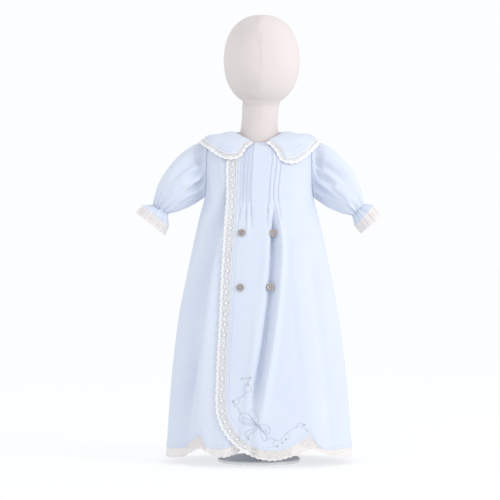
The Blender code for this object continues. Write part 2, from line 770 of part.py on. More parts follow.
def build_collar():
    """The collar in one piece round the back of the neck, and the lace on its leading and outer edges."""
    grid = np.array([[collar_point(row, share) for row in COLLAR_ROWS] for share in COLLAR_SHARES])
    thicken("collar", grid[::-1], CLOTH, "blue_batiste")
    last = len(COLLAR_ROWS) - 1
    normals = grid_normals(grid[::-1], False)[::-1]
    path = [(s, 0) for s in range(1, len(COLLAR_SHARES))]
    path += [(len(COLLAR_SHARES) - 1, k) for k in range(1, last + 1)]
    path += [(s, last) for s in range(len(COLLAR_SHARES) - 2, 0, -1)]
    edge = np.array([grid[s][k] for s, k in path])
    normal = np.array([normals[s][k] for s, k in path])
    tangent = np.gradient(edge, axis=0)
    away = np.cross(tangent, normal)
    away /= np.linalg.norm(away, axis=1, keepdims=True)
    rows = [edge + away * (SEAM_GAP + share * (COLLAR_LACE_WIDTH - SEAM_GAP)) for share in (0, 1)]
    thicken("collar_lace", rows[::-1], LACE, "white_lace")


# Buttons


def seat(tree, middle, normal, radius):
    """Points of a wall under a disc of a radius, looked for along the disc's normal."""
    turn = normal.to_track_quat("Z", "Y")
    hits = []
    for k in range(BUTTON_SIDES):
        angle = math.tau * k / BUTTON_SIDES
        for reach in (radius, radius / 2):
            start = middle + turn @ Vector((reach * math.cos(angle), reach * math.sin(angle), radius))
            hits.append(tree.ray_cast(start * MM, -normal)[0] / MM)
    return hits


def build_buttons(front):
    """The buttons: turned discs with a dish and four thread holes, lying on the wrapped front."""
    tree = BVHTree.FromPolygons([v.co for v in front.data.vertices], [f.vertices for f in front.data.polygons])
    for place in BUTTONS:
        level = level_at(place.z)
        middle = Vector(body_point(place.angle, level, 0, OVER_FOLDS))
        normal = Vector(body_normal(place.angle, level))
        hits = np.array(seat(tree, middle, normal, BUTTON_RADIUS))
        tilt = Vector(np.linalg.svd(hits - hits.mean(axis=0))[2][2])
        if tilt.dot(normal) < 0:
            tilt.negate()
        middle = Vector(hits.mean(axis=0))
        hits = seat(tree, middle, tilt, BUTTON_RADIUS)
        rise = max((hit - middle).dot(tilt) for hit in hits)
        button = turned(place.name, BUTTON_PROFILE, BUTTON_SIDES, "shell_button")
        for dx, dy in ((1, 1), (1, -1), (-1, 1), (-1, -1)):
            cut_hole(button, dx * HOLE_OFFSET, dy * HOLE_OFFSET)
        button.rotation_euler = tilt.to_track_quat("Z", "Y").to_euler()
        button.location = (middle + tilt * (rise + SEAM_GAP)) * MM


def turned(name, profile, sides, finish):
    """A solid of revolution about Z from (radius, height) points, run down the outer side from the top."""
    mesh = bpy.data.meshes.new(name)
    verts = [(r * MM, 0, z * MM) for r, z in profile]
    mesh.from_pydata(verts, [(k, k + 1) for k in range(len(verts) - 1)], [])
    obj = add_object(name, mesh, finish)
    screw = obj.modifiers.new("turn", "SCREW")
    screw.steps = screw.render_steps = sides
    screw.use_merge_vertices = True
    screw.merge_threshold = 0.00001
    return obj


def cut_hole(button, x, y):
    """A thread hole through a button, cut by a hidden cylinder that rides with it."""
    bm = bmesh.new()
    bmesh.ops.create_cone(
        bm, cap_ends=True, segments=HOLE_SIDES, radius1=HOLE_RADIUS * MM, radius2=HOLE_RADIUS * MM, depth=10 * MM
    )
    mesh = bpy.data.meshes.new(button.name + "_hole")
    bm.to_mesh(mesh)
    bm.free()
    hole = bpy.data.objects.new(mesh.name, mesh)
    cutters.objects.link(hole)
    hole.location = (x * MM, y * MM, 0)
    hole.parent = button
    hole.hide_render = True
    cut = button.modifiers.new("hole", "BOOLEAN")
    cut.operation = "DIFFERENCE"
    cut.object = hole
    cut.solver = "EXACT"


# Dress form and stand


def form_ring(ring):
    """Points of one level section of the form."""
    points = []
    for k in range(FORM_SIDES):
        angle = math.tau * k / FORM_SIDES
        s, c = math.sin(angle), math.cos(angle)
        depth = ring.front if c > 0 else ring.back
        radius = (abs(s / ring.half_width) ** ring.power + abs(c / depth) ** ring.power) ** (-1 / ring.power)
        points.append((ring.middle_x + radius * s, ring.middle_y - radius * c, ring.z))
    return points


def shoulder_ring(level, inset=0.0):
    """Points of the form just under the gown's shoulders; it stands further in under the double front."""
    points = []
    for k in range(FORM_SIDES):
        angle = 360 * k / FORM_SIDES
        front = soft_step((math.cos(math.radians(angle)) - 0.1) / 0.5)
        depth = CLOTH + FORM_CLEARANCE + FORM_FRONT_INSET * front + inset
        points.append(body_point(angle, level, -depth))
    return points


def head_ring(tilt):
    """Points of one section of the egg-shaped head."""
    s, c = math.sin(math.radians(tilt)), math.cos(math.radians(tilt))
    size = (abs(s) ** HEAD_POWER + abs(c) ** HEAD_POWER) ** (-1 / HEAD_POWER)
    wide, deep, tall = HEAD_HALF
    ring = FormRing(
        HEAD_CENTRE[2] + tall * size * s, wide * size * c, deep * size * c, deep * size * c,
        HEAD_CENTRE[0], HEAD_CENTRE[1], 2.1,
    )
    return form_ring(ring)


def build_form():
    """The smooth form: torso without limbs, neck and egg-shaped head in one body."""
    rings = [form_ring(ring) for ring in TORSO]
    rings += [shoulder_ring(level) for level in SHOULDER_LEVELS]
    rings.append(shoulder_ring(NECK, FORM_NECK_INSET))
    rings += [form_ring(ring) for ring in NECK_RINGS]
    rings += [head_ring(tilt) for tilt in HEAD_ANGLES]
    top = (HEAD_CENTRE[0], HEAD_CENTRE[1], HEAD_CENTRE[2] + HEAD_HALF[2])
    verts = np.array([p for ring in rings for p in ring] + [(0, 0, rings[0][0][2]), top]) * MM
    faces = []
    for r in range(len(rings) - 1):
        for k in range(FORM_SIDES):
            a, b = r * FORM_SIDES + k, r * FORM_SIDES + (k + 1) % FORM_SIDES
            faces.append((a, b, b + FORM_SIDES, a + FORM_SIDES))
    low, high = len(verts) - 2, len(verts) - 1
    for k in range(FORM_SIDES):
        a, b = k, (k + 1) % FORM_SIDES
        faces.append((b, a, low))
        shift = (len(rings) - 1) * FORM_SIDES
        faces.append((a + shift, b + shift, high))
    add_mesh("form_body", verts, faces, "form_jersey")


def build_stand():
    """A slim pole and a round base, hidden in the skirt."""
    top = TORSO[0].z - SEAM_GAP
    low = BASE_HEIGHT + SEAM_GAP
    turned("form_pole", [(0, top), (POLE_RADIUS, top), (POLE_RADIUS, low), (0, low)], POLE_SIDES, "stand_enamel")
    edge, height = BASE_RADIUS - BASE_EDGE, BASE_HEIGHT - BASE_EDGE
    profile = [(0, BASE_HEIGHT), (edge, BASE_HEIGHT), (BASE_RADIUS, height), (BASE_RADIUS, 0), (0, 0)]
    turned("form_base", profile, BASE_SIDES, "stand_enamel")


for old in list(bpy.data.objects):
    bpy.data.objects.remove(old)
collection = bpy.data.collections.new("baby_gown")
cutters = bpy.data.collections.new("cutters")
for group in (collection, cutters):
    bpy.context.scene.collection.children.link(group)
materials = {name: make_material(name, finish) for name, finish in FINISHES.items()}
front = build_front_over()
build_front_under()
build_back()
build_sleeve("left", -1, LEFT_SLEEVE, LEFT_CUFF_LACE)
build_sleeve("right", 1, RIGHT_SLEEVE, RIGHT_CUFF_LACE)
build_collar()
build_buttons(front)
build_form()
build_stand()
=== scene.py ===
# %% [markdown]
# # A baby's long gown, worn by a limbless dress form
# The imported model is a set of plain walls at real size. This lesson dresses them: fine cotton with pressed pin
# tucks, real lace, sewing, embroidery and shell buttons. Every piece is worked out again from the same named sizes
# as its wall, only finer, so it lies where the wall lies and nothing is fitted by eye.

# %% Load the frame
import math
from collections import namedtuple

import bmesh
import bpy
import numpy as np
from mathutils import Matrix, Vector


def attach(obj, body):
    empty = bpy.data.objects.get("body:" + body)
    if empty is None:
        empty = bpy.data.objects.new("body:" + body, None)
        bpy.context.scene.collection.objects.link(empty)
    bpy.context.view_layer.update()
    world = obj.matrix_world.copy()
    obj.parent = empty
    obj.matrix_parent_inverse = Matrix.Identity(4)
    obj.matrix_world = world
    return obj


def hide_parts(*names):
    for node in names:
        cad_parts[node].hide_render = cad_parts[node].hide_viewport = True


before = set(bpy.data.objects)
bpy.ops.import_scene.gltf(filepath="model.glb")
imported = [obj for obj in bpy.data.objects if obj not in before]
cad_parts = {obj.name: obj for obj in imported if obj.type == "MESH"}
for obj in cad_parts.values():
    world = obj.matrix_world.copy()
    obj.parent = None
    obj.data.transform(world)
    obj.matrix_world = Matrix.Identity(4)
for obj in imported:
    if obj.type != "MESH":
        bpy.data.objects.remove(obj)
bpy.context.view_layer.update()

MM = 0.001

# %% [markdown]
# ## Camera, floor and light
# The gown is seen straight on from about three metres, which a 135 mm lens on a full-frame sensor gives. One large
# soft lamp stands well to the front right and a weak one to the left, so folds that turn left fall into soft shade.
# The white floor and the bright surroundings fill the shadows as a white studio does.

# %% Camera and studio
CAMERA_PLACE, CAMERA_LENS, LAMP_AIM, FLOOR_HALF = (-0.0144, -3.0, 0.3376), 135, (0, 0, 0.3), 40
WARM_WHITE, COOL_WHITE, SKY_WHITE = (1.0, 0.985, 0.96), (0.95, 0.975, 1.0), (0.975, 0.985, 1, 1)


def add_object(name, data):
    """An object in the scene."""
    thing = bpy.data.objects.new(name, data)
    bpy.context.scene.collection.objects.link(thing)
    return thing


def area_light(name, place, size, power, colour):
    """A square studio lamp at a place in metres, turned to the gown."""
    data = bpy.data.lights.new(name, "AREA")
    data.size, data.energy, data.color = size, power, colour
    lamp = add_object(name, data)
    lamp.location = place
    lamp.rotation_euler = (Vector(LAMP_AIM) - Vector(place)).to_track_quat("-Z", "Y").to_euler()


def stage_floor(material):
    """A wide floor that the stand rests on."""
    mesh = bpy.data.meshes.new("floor")
    corners = [(x * FLOOR_HALF, y * FLOOR_HALF, 0) for x, y in ((-1, -1), (1, -1), (1, 1), (-1, 1))]
    mesh.from_pydata(corners, [], [(0, 1, 2, 3)])
    mesh.materials.append(material)
    floor = add_object("floor", mesh)


camera = add_object("camera", bpy.data.cameras.new("camera"))
camera.data.lens, camera.location, camera.rotation_euler = CAMERA_LENS, CAMERA_PLACE, (math.pi / 2, 0, 0)
bpy.context.scene.camera = camera
bpy.context.scene.view_settings.view_transform = "Standard"
area_light("key lamp", (2.3, -1.4, 1.3), 0.8, 24, WARM_WHITE)
area_light("fill lamp", (-2.2, -1.9, 1.2), 1.4, 3, COOL_WHITE)
world = bpy.data.worlds.new("studio")
world.use_nodes = True
sky = world.node_tree.nodes["Background"].inputs
sky["Color"].default_value, sky["Strength"].default_value = SKY_WHITE, 1.0
bpy.context.scene.world = world
print("camera at", tuple(camera.location))

# %% [markdown]
# ## Shader groups
# Cotton, lace and jersey all show threads, and all differ a little from place to place. The two effects are built
# once as node groups. The threads follow each piece's own UV map, which is in metres along and across the cloth, so
# warp and weft run as they were cut and never slide.

# %% Node helpers
def plug(tree, node, inputs):
    """Sets a node's inputs to values, or links them from sockets."""
    for name, value in inputs.items():
        if isinstance(value, bpy.types.NodeSocket):
            tree.links.new(value, node.inputs[name])
        else:
            node.inputs[name].default_value = value


def add_node(tree, kind, inputs=None, **settings):
    """A node of a kind with its settings and inputs."""
    node = tree.nodes.new(kind)
    for name, value in settings.items():
        setattr(node, name, value)
    plug(tree, node, inputs or {})
    return node


def math_node(tree, operation, a, b=0.0, c=0.0):
    """The output of a math node."""
    return add_node(tree, "ShaderNodeMath", {0: a, 1: b, 2: c}, operation=operation).outputs[0]


def scaled_vector(tree, vector, factors):
    """A vector times constant factors."""
    return add_node(tree, "ShaderNodeVectorMath", {0: vector, 1: factors}, operation="MULTIPLY").outputs[0]


def noise_value(tree, **inputs):
    """The value of a noise texture."""
    return add_node(tree, "ShaderNodeTexNoise", inputs).outputs["Fac"]


def new_group(name, inputs, outputs):
    """A shader node group with float inputs and outputs, the sockets it is given and its output node."""
    group = bpy.data.node_groups.new(name, "ShaderNodeTree")
    for socket, value in inputs.items():
        group.interface.new_socket(socket, in_out="INPUT", socket_type="NodeSocketFloat").default_value = value
    for socket in outputs:
        group.interface.new_socket(socket, in_out="OUTPUT", socket_type="NodeSocketFloat")
    return group, group.nodes.new("NodeGroupInput").outputs, group.nodes.new("NodeGroupOutput")


# %% Threads and unevenness groups
def make_threads_group():
    """Plain weave: threads that pass over and under each other, with slubs where the yarn is thicker."""
    group, given, result = new_group("Threads", {"Pitch": 0.0005, "Slub": 0.4}, ["Height", "Tint"])
    uv = add_node(group, "ShaderNodeUVMap", uv_map="cloth").outputs[0]
    split = add_node(group, "ShaderNodeSeparateXYZ", {0: uv}).outputs
    turns = math_node(group, "DIVIDE", math.tau, given["Pitch"])
    waves = [math_node(group, "SINE", math_node(group, "MULTIPLY", split[k], turns)) for k in range(2)]
    streaks = [noise_value(group, Vector=scaled_vector(group, uv, factors), Scale=1.0, Detail=1.0)
               for factors in ((1500, 60, 1), (60, 1500, 1))]
    both = math_node(group, "SUBTRACT", math_node(group, "ADD", *streaks), 1.0)
    plug(group, result, {
        "Height": math_node(group, "MULTIPLY_ADD", math_node(group, "MULTIPLY", *waves), 0.5, 0.5),
        "Tint": math_node(group, "MULTIPLY_ADD", both, given["Slub"], 0.5)})
    return group


def make_unevenness_group():
    """Slow changes over a surface, for colour, wear and worn-in crumple."""
    group, given, result = new_group("Unevenness", {"Scale": 20.0, "Contrast": 1.0}, ["Mask", "Crumple"])
    place = add_node(group, "ShaderNodeTexCoord").outputs["Object"]
    slow = noise_value(group, Vector=place, Scale=given["Scale"], Detail=2.0)
    plug(group, result, {
        "Mask": math_node(group, "MULTIPLY_ADD", math_node(group, "SUBTRACT", slow, 0.5), given["Contrast"], 0.5),
        "Crumple": noise_value(group, Vector=scaled_vector(group, place, (1.0, 1.0, 0.35)), Scale=75.0, Detail=3.0,
                               Roughness=0.45, Distortion=0.6)})
    return group


threads_group, unevenness_group = make_threads_group(), make_unevenness_group()
print("groups:", threads_group.name, unevenness_group.name)

# %% [markdown]
# ## Finishes
# Batiste is a thin, matt, plain weave with a faint sheen at grazing angles. Lace is thicker cotton yarn. The form is
# covered in fine jersey. The buttons are shell, which is streaky and has a soft pearl gloss under a polished face.

# %% Cloth and thread materials
Finish = namedtuple("Finish", "light dark roughness sheen pitch slub weave crumple")
CLOTH_FINISHES = {
    "blue_batiste": Finish((0.696, 0.745, 0.838), (0.640, 0.700, 0.826), 0.88, 0.10, 0.00045, 0.5, 0.00004, 0.00030),
    "white_lace": Finish((0.885, 0.885, 0.890), (0.835, 0.835, 0.845), 0.92, 0.15, 0.00080, 0.5, 0.00008, 0.00010),
    # Hem and cuff lace: the white lace again, but darker and warmer. This is painted shade, so that the brightly lit
    # hem is not pure white
    "hem_lace": Finish((0.810, 0.775, 0.770), (0.745, 0.710, 0.705), 0.92, 0.15, 0.00080, 0.5, 0.00008, 0.00010),
    "form_jersey": Finish((0.775, 0.712, 0.700), (0.735, 0.672, 0.662), 0.95, 0.10, 0.00110, 0.7, 0.00015, 0.00008),
    "blue_sewing": Finish((0.560, 0.640, 0.790), (0.500, 0.585, 0.745), 0.70, 0.15, 0.00060, 0.3, 0.00005, 0.00002),
    "grey_blue_silk": Finish((0.520, 0.590, 0.690), (0.450, 0.525, 0.635), 0.45, 0.10, 0.00060, 0.3, 0.00005, 0.00002),
    "sand_silk": Finish((0.640, 0.600, 0.560), (0.570, 0.530, 0.490), 0.45, 0.10, 0.00060, 0.3, 0.00005, 0.00002),
}


def new_material(name):
    """A material with its tree and its Principled shader."""
    material = bpy.data.materials.new(name)
    material.use_nodes = True
    return material, material.node_tree, material.node_tree.nodes["Principled BSDF"]


def place_group(tree, group, **values):
    """The outputs of a shader group in a material, with its own values."""
    node = tree.nodes.new("ShaderNodeGroup")
    node.node_tree = group
    plug(tree, node, values)
    return node.outputs


def mix_colour(tree, mask, dark, light):
    """A colour between dark and light by a mask."""
    return add_node(tree, "ShaderNodeMix", {0: mask, 6: (*dark, 1), 7: (*light, 1)}, data_type="RGBA").outputs[2]


def bump(tree, **inputs):
    """The direction that a bump node gives."""
    return add_node(tree, "ShaderNodeBump", inputs).outputs[0]


def cloth_material(name, finish):
    """A woven or knitted finish: slubby colour, fine threads and soft crumple."""
    material, tree, shader = new_material(name)
    threads = place_group(tree, threads_group, Pitch=finish.pitch, Slub=finish.slub)
    uneven = place_group(tree, unevenness_group, Scale=18.0, Contrast=0.9)
    slubs = math_node(tree, "SUBTRACT", threads["Tint"], 0.5)
    mask = math_node(tree, "MULTIPLY_ADD", slubs, 0.6, uneven["Mask"])
    crumple = bump(tree, Height=uneven["Crumple"], Strength=1.0, Distance=finish.crumple)
    plug(tree, shader, {
        "Base Color": mix_colour(tree, mask, finish.dark, finish.light),
        "Normal": bump(tree, Height=threads["Height"], Strength=1.0, Distance=finish.weave, Normal=crumple),
        "Roughness": finish.roughness, "Sheen Weight": finish.sheen, "Specular IOR Level": 0.25})
    return material


materials = {name: cloth_material(name, finish) for name, finish in CLOTH_FINISHES.items()}
print("cloth finishes:", ", ".join(materials))

# %% Shell, enamel and floor materials
def shell_material():
    """Streaky grey-brown shell under a polished face."""
    material, tree, shader = new_material("button_shell")
    place = add_node(tree, "ShaderNodeTexCoord").outputs["Object"]
    wave = add_node(tree, "ShaderNodeTexWave", {"Vector": place, "Scale": 160.0, "Distortion": 9.0, "Detail": 2.0})
    streaks = mix_colour(tree, wave.outputs["Fac"], (0.20, 0.165, 0.15), (0.56, 0.47, 0.42))
    plug(tree, shader, {"Base Color": streaks, "Roughness": 0.25, "Coat Weight": 0.5})
    return material


def enamel_material():
    """Pale enamel on steel, a little orange-peeled and rubbed."""
    material, tree, shader = new_material("stand_enamel_paint")
    uneven = place_group(tree, unevenness_group, Scale=60.0, Contrast=1.2)
    plug(tree, shader, {
        "Base Color": mix_colour(tree, uneven["Mask"], (0.86, 0.86, 0.85), (0.92, 0.92, 0.91)),
        "Roughness": math_node(tree, "MULTIPLY_ADD", uneven["Mask"], 0.2, 0.25),
        "Normal": bump(tree, Height=uneven["Crumple"], Distance=0.00005)})
    return material


def floor_material():
    """A plain white floor, lit from within as a light table is."""
    material, tree, shader = new_material("pale_floor")
    uneven = place_group(tree, unevenness_group, Scale=1.5, Contrast=0.3)
    plug(tree, shader, {
        "Base Color": mix_colour(tree, uneven["Mask"], (0.247, 0.247, 0.247), (0.253, 0.253, 0.253)),
        "Emission Color": SKY_WHITE, "Emission Strength": 0.745, "Specular IOR Level": 0.0})
    return material


materials["button_shell"], materials["stand_enamel_paint"] = shell_material(), enamel_material()
stage_floor(floor_material())
print("materials:", len(materials))

# %% [markdown]
# ## The worn gown's surface
# On the real gown every panel follows one shape: the bell of the skirt, the flat chest and the sloping shoulders.
# So one function gives that surface from a table of sections, by angle round the body and by level up it, and every
# panel, lace and stitch is a set of places on it. A sculpted mesh would look as good from the front, but nothing
# could then be laid on it exactly.

# %% Sections
# Each row: height at the sides, at the front and at the back, half width, front depth, back depth, squareness
SECTIONS = np.array([
    (20, 20, 20, 148, 102, 98, 2.15), (85, 85, 85, 143.5, 97, 95, 2.15), (162, 162, 162, 136, 91, 90, 2.15),
    (238, 238, 238, 126, 83, 82, 2.2), (315, 315, 315, 111.5, 74, 72, 2.25), (382, 382, 382, 97, 64, 62, 2.3),
    (424, 424, 424, 86.5, 58, 56, 2.4), (465, 463, 463, 86, 55, 54, 2.6), (495, 487, 490, 86, 50, 48, 2.6),
    (513, 500, 508, 80, 44, 40, 2.5), (519.5, 504, 518, 60, 40, 34, 2.3), (524, 507, 523, 38, 36, 29, 2.1),
])
NECK = len(SECTIONS) - 1


def rows_at(table, position):
    """Smooth rows of a table at fractional row positions."""
    table, last = np.asarray(table, float), len(table) - 1
    position = np.clip(position, -0.5, last + 0.5)
    i = np.clip(np.floor(position).astype(int), 0, last - 1)
    f = (position - i)[..., None]
    longer = np.vstack([2 * table[:1] - table[1:2], table, 2 * table[-1:] - table[-2:-1]])
    a, b, c, d = (longer[i + k] for k in range(4))
    f2, f3 = f * f, f * f * f
    return b * (2 * f3 - 3 * f2 + 1) + (c - a) / 2 * (f3 - 2 * f2 + f) + c * (3 * f2 - 2 * f3) + (d - b) / 2 * (f3 - f2)


def soft_step(x, start=0.0, end=1.0):
    """0 at the start, 1 at the end, and an even curve between."""
    x = np.clip((x - start) / (end - start), 0.0, 1.0)
    return x * x * (3 - 2 * x)


def bell(x, middle, spread):
    """1 in the middle, falling evenly to both sides."""
    return np.exp(-((x - middle) / spread) ** 2)


def between(start, end, share):
    """Values a share of the way from start to end."""
    return start + (end - start) * share


def unit(vectors):
    """Vectors of length 1."""
    return vectors / np.linalg.norm(vectors, axis=-1, keepdims=True)


def distances(points):
    """Distance along a line of points."""
    return np.concatenate([[0], np.cumsum(np.linalg.norm(np.diff(points, axis=0), axis=1))])


def oval(degrees, half_width, front, back, power):
    """Places round a rounded oval whose front and back differ in depth."""
    s, c = np.sin(np.radians(degrees)), np.cos(np.radians(degrees))
    radius = (np.abs(s / half_width) ** power + np.abs(c / np.where(c > 0, front, back)) ** power) ** (-1 / power)
    return radius, s, c


LEVELS = np.linspace(-0.45, NECK, 2400)
LEVEL_HEIGHTS = rows_at(SECTIONS, LEVELS)[:, 0]
CLIMB = distances(rows_at(SECTIONS, LEVELS)[:, [0, 3]])


def level_at(z):
    """The level whose side height is z."""
    return np.interp(z, LEVEL_HEIGHTS, LEVELS)


print("sections from", SECTIONS[0, 0], "to", SECTIONS[-1, 0], "mm")

# %% [markdown]
# ## Folds and creases
# The skirt hangs in long soft folds that start where the cloth is released: below the pin tucks, from the armpits
# and along the back. A long fold runs to the hem. A crease is shorter and sharper and dies at both ends. Both are
# laid in tables, because the folds of a hanging gown are few and each has its own place.

# %% Fold tables
# Each row: path of (height, angle) down the skirt, spread, rise, and the share of it that is left at the hem
OVER_FOLDS = [
    (((416, 22), (370, 20.7), (322, 17.6), (258, 12.8), (194, 6.3), (130, -1.2), (50, -8.4)), 4.2, -12.8, 0.12),
    (((412, 29), (370, 28), (322, 25), (258, 19.6), (194, 13.4), (130, 6.4), (50, -1)), 4.6, 7.6, 0.25),
    (((290, 14.5), (258, 11.6), (194, 5.2), (130, -2.2), (50, -9)), 4.8, -1.6, 0.0),
    (((400, 12), (322, 8), (258, 3), (194, -3), (130, -10)), 5.5, 1.6, 0.3),
    (((380, 43), (258, 41), (194, 43), (130, 44), (30, 50)), 10, 3.0, 1),
    (((360, 58), (30, 60)), 6, -6.0, 1), (((330, 76), (30, 77)), 6, 3.4, 1), (((170, -14), (30, -20)), 6, -2.0, 1),
]
UNDER_FOLDS = [
    (((450, -40), (405, -49), (360, -58), (235, -64), (30, -64)), 8.5, -16.0, 0.45),
    (((440, -57), (380, -72), (235, -79), (30, -79)), 5.5, 4.0, 0.5),
    (((380, -56), (320, -52), (235, -50), (30, -51)), 4.0, 5.0, 0.4),
    (((200, -66), (97, -67), (30, -68)), 4.5, -10.5, 0.7), (((200, -57), (30, -58)), 3.8, 3.5, 0.7),
]
BACK_FOLDS = [
    (((400, 104), (30, 103)), 6.5, -6.0, 1), (((430, 124), (230, 119), (30, 117)), 7, 6.0, 1),
    (((370, 141), (30, 134)), 6, -8.0, 1), (((440, 163), (240, 157), (30, 152)), 8, 5.4, 1),
    (((350, 181), (200, 177), (30, 172)), 6, -9.0, 1), (((430, 201), (230, 199), (30, 194)), 7, 6.6, 1),
    (((380, 222), (30, 219)), 6, -7.0, 1), (((420, 241), (30, 240)), 7, 5.6, 1), (((390, 258), (30, 259)), 6, -5.0, 1),
]
FOLD_FADE, FOOT_HEIGHTS = 75.0, (55.0, 145.0)
# Each row: height of the top and of the foot, angle of the top and of the foot, spread, rise
OVER_CREASES = [
    (424, 366, -13.4, -10.5, 1.0, -2.2), (420, 372, -19.6, -17.5, 1.0, -2.2), (420, 378, -25.0, -28.5, 1.0, -2.0),
    (412, 350, -16.5, -15.0, 1.8, 1.4), (426, 370, 14.6, 9.5, 1.0, -2.4), (410, 352, 17.0, 14.0, 2.0, 1.8),
    (428, 318, 22.6, 19.0, 1.3, -3.0), (424, 372, 27.5, 30.0, 1.0, -2.0), (414, 330, 26.3, 25.5, 2.0, 1.8),
    (480, 405, 62, 66, 4.0, -1.2), (470, 380, 52, 44, 5.0, 1.2), (300, 90, -3, -8, 3.0, 0.9),
    (330, 60, 34, 36, 3.0, -0.9), (260, 40, 52, 54, 3.0, 0.8), (330, 110, 68, 70, 3.2, -1.0),
    (230, 50, 83, 84, 2.5, 0.8), (405, 330, 70, 61, 4.0, 1.1),
]
UNDER_CREASES = [
    (480, 400, -60, -50, 4.0, -2.4), (470, 395, -70, -60, 3.0, 1.8), (420, 300, -72, -74, 3.5, -2.0),
    (455, 385, -42, -56, 3.0, -2.2), (300, 60, -70, -72, 3.0, 1.1), (240, 40, -52, -54, 3.0, 1.0),
    (220, 50, -84, -84, 2.5, -0.8), (380, 230, -55, -54, 2.5, -1.0),
]
BACK_CREASES = [
    (470, 330, 112, 113, 3.0, 1.8), (460, 250, 132, 128, 2.5, -2.0), (480, 300, 152, 148, 3.0, 2.0),
    (470, 200, 172, 169, 2.5, -2.2), (480, 280, 192, 190, 3.0, 2.0), (460, 220, 212, 211, 2.5, -2.2),
    (470, 320, 232, 232, 3.0, 1.8), (300, 60, 250, 251, 2.5, 1.6), (300, 50, 128, 124, 2.4, -1.6),
    (260, 40, 166, 162, 2.4, 1.6), (280, 60, 187, 184, 2.2, 1.6), (240, 40, 232, 230, 2.4, -1.6),
    (490, 420, 140, 128, 3.0, -1.8), (490, 430, 220, 233, 3.0, -1.8),
]
PLAIN, OVER = ([], []), (OVER_FOLDS, OVER_CREASES)
UNDER, BACK = (UNDER_FOLDS, UNDER_CREASES), (BACK_FOLDS, BACK_CREASES)


def fold_height(folds, creases, angle, z):
    """How far the folds and creases of one panel push the cloth outward."""
    total = np.zeros(np.broadcast(angle, z).shape)
    for path, spread, rise, foot in folds:
        heights, angles = zip(*reversed(path))
        share = between(foot, 1, soft_step(z, *FOOT_HEIGHTS)) * soft_step((path[0][0] - z) / FOLD_FADE)
        total = total + rise * share * bell(angle, np.interp(z, heights, angles), spread)
    for z_top, z_foot, angle_top, angle_foot, spread, rise in creases:
        along = np.clip((z_top - z) / (z_top - z_foot), 0, 1)
        middle = between(angle_top, angle_foot, along)
        total = total + rise * np.sin(np.pi * along) ** 1.3 * bell(angle, middle, spread)
    return total


print("folds:", len(OVER_FOLDS + UNDER_FOLDS + BACK_FOLDS),
      "creases:", len(OVER_CREASES + UNDER_CREASES + BACK_CREASES))

# %% Surface function
def surface(angle, level, cloth=PLAIN):
    """Points of the gown's surface in millimetres, at angles round the body and levels up it."""
    angle, level = np.broadcast_arrays(np.asarray(angle, float), np.asarray(level, float))
    z_side, z_front, z_back, *shape = np.moveaxis(rows_at(SECTIONS, level), -1, 0)
    radius, s, c = oval(angle, *shape)
    z = between(z_side, np.where(c > 0, z_front, z_back), c * c)
    turn = np.abs((angle + 180) % 360 - 180)
    radius = radius + fold_height(*cloth, angle, z) * soft_step(np.abs(turn - 90) / 9)
    return np.stack([radius * s, -radius * c, z], -1)


def surface_normal(angle, level, cloth=PLAIN):
    """Outward directions of the gown's surface."""
    angle, level = np.broadcast_arrays(np.asarray(angle, float), np.asarray(level, float))
    step = np.where(level < NECK / 2, 0.02, -0.02)
    along = (surface(angle, level + step, cloth) - surface(angle, level, cloth)) / step[..., None]
    across = surface(angle + 0.3, level, cloth) - surface(angle - 0.3, level, cloth)
    return unit(np.cross(across, along))


def laid(angle, level, cloth=PLAIN, lift=0.0):
    """Points lifted off the gown's surface, with their outward directions."""
    normal = surface_normal(angle, level, cloth)
    return surface(angle, level, cloth) + normal * np.broadcast_to(lift, normal.shape[:-1])[..., None], normal


print("hem half width:", round(float(surface(90, 0)[0]), 1), "mm")

# %% [markdown]
# ## Hem, front edge and armholes
# The hem is cut in scallops that meet in points, and the wrapped front has a rounded lower corner. These are the
# outlines of the pattern pieces, so they come from their own small tables of where each scallop starts and ends.

# %% Outlines of the pieces
# Each row: angles where the scallop starts and ends, lowest height of the cloth and of the lace
SCALLOPS = [
    (-103, -48, 24, 9.5), (-48, -15, 29, 15), (-15, 42.4, 29, 15), (42.4, 105, 25, 10.5), (105, 154, 25.5, 10.5),
    (154, 206, 25.5, 10.5), (206, 257, 25.5, 10.5),
]
CUSP_CLOTH, CUSP_LACE = 51.5, 29.0
FALL_CURVE, RISE_CURVE, LACE_CURVE = 7.0, 1.9, 1.7
EDGE_LEVELS, EDGE_ANGLES = (0, 3, 5, 8, 9, 10, 11), (-30.5, -30.5, -32.4, -34, -38, -43, -50)
CORNER_FOOT, CORNER_TOP, CORNER_LOW, CORNER_LACE_LOW, FRONT_POINT = 12.3, 105.0, 26.5, 11.2, 42.4
ARMPIT, SHOULDER_TIP, ARMHOLE_SPREAD = 6.0, 9.2, 14.5


def scallop_heights(angle):
    """Heights of the cloth's and the lace's lower edge."""
    turn = np.where(angle > SCALLOPS[-1][1], np.asarray(angle) - 360.0, angle)
    cloth, lace = np.full(turn.shape, CUSP_CLOTH), np.full(turn.shape, CUSP_LACE)
    for start, end, cloth_low, lace_low in SCALLOPS:
        place = 2 * (turn - start) / (end - start) - 1
        share, inside = np.minimum(np.abs(place), 1), np.abs(place) <= 1
        curve = np.where(place < 0, FALL_CURVE, RISE_CURVE)
        cloth = np.where(inside, between(cloth_low, CUSP_CLOTH, share ** curve), cloth)
        lace = np.where(inside, between(lace_low, CUSP_LACE, share ** LACE_CURVE), lace)
    return cloth, lace


def cloth_hem(angle):
    """Lower edge of the under front and the back."""
    return scallop_heights(angle)[0]


def lace_hem(angle):
    """Lower edge of hem lace."""
    return scallop_heights(angle)[1]


def corner_rise(angle, low, top, curve):
    """Height of the wrapped front's hem from its lowest place, at the rounded corner, to its point."""
    return between(low, top, np.clip((angle - CORNER_FOOT) / (FRONT_POINT - CORNER_FOOT), 0, 1) ** curve)


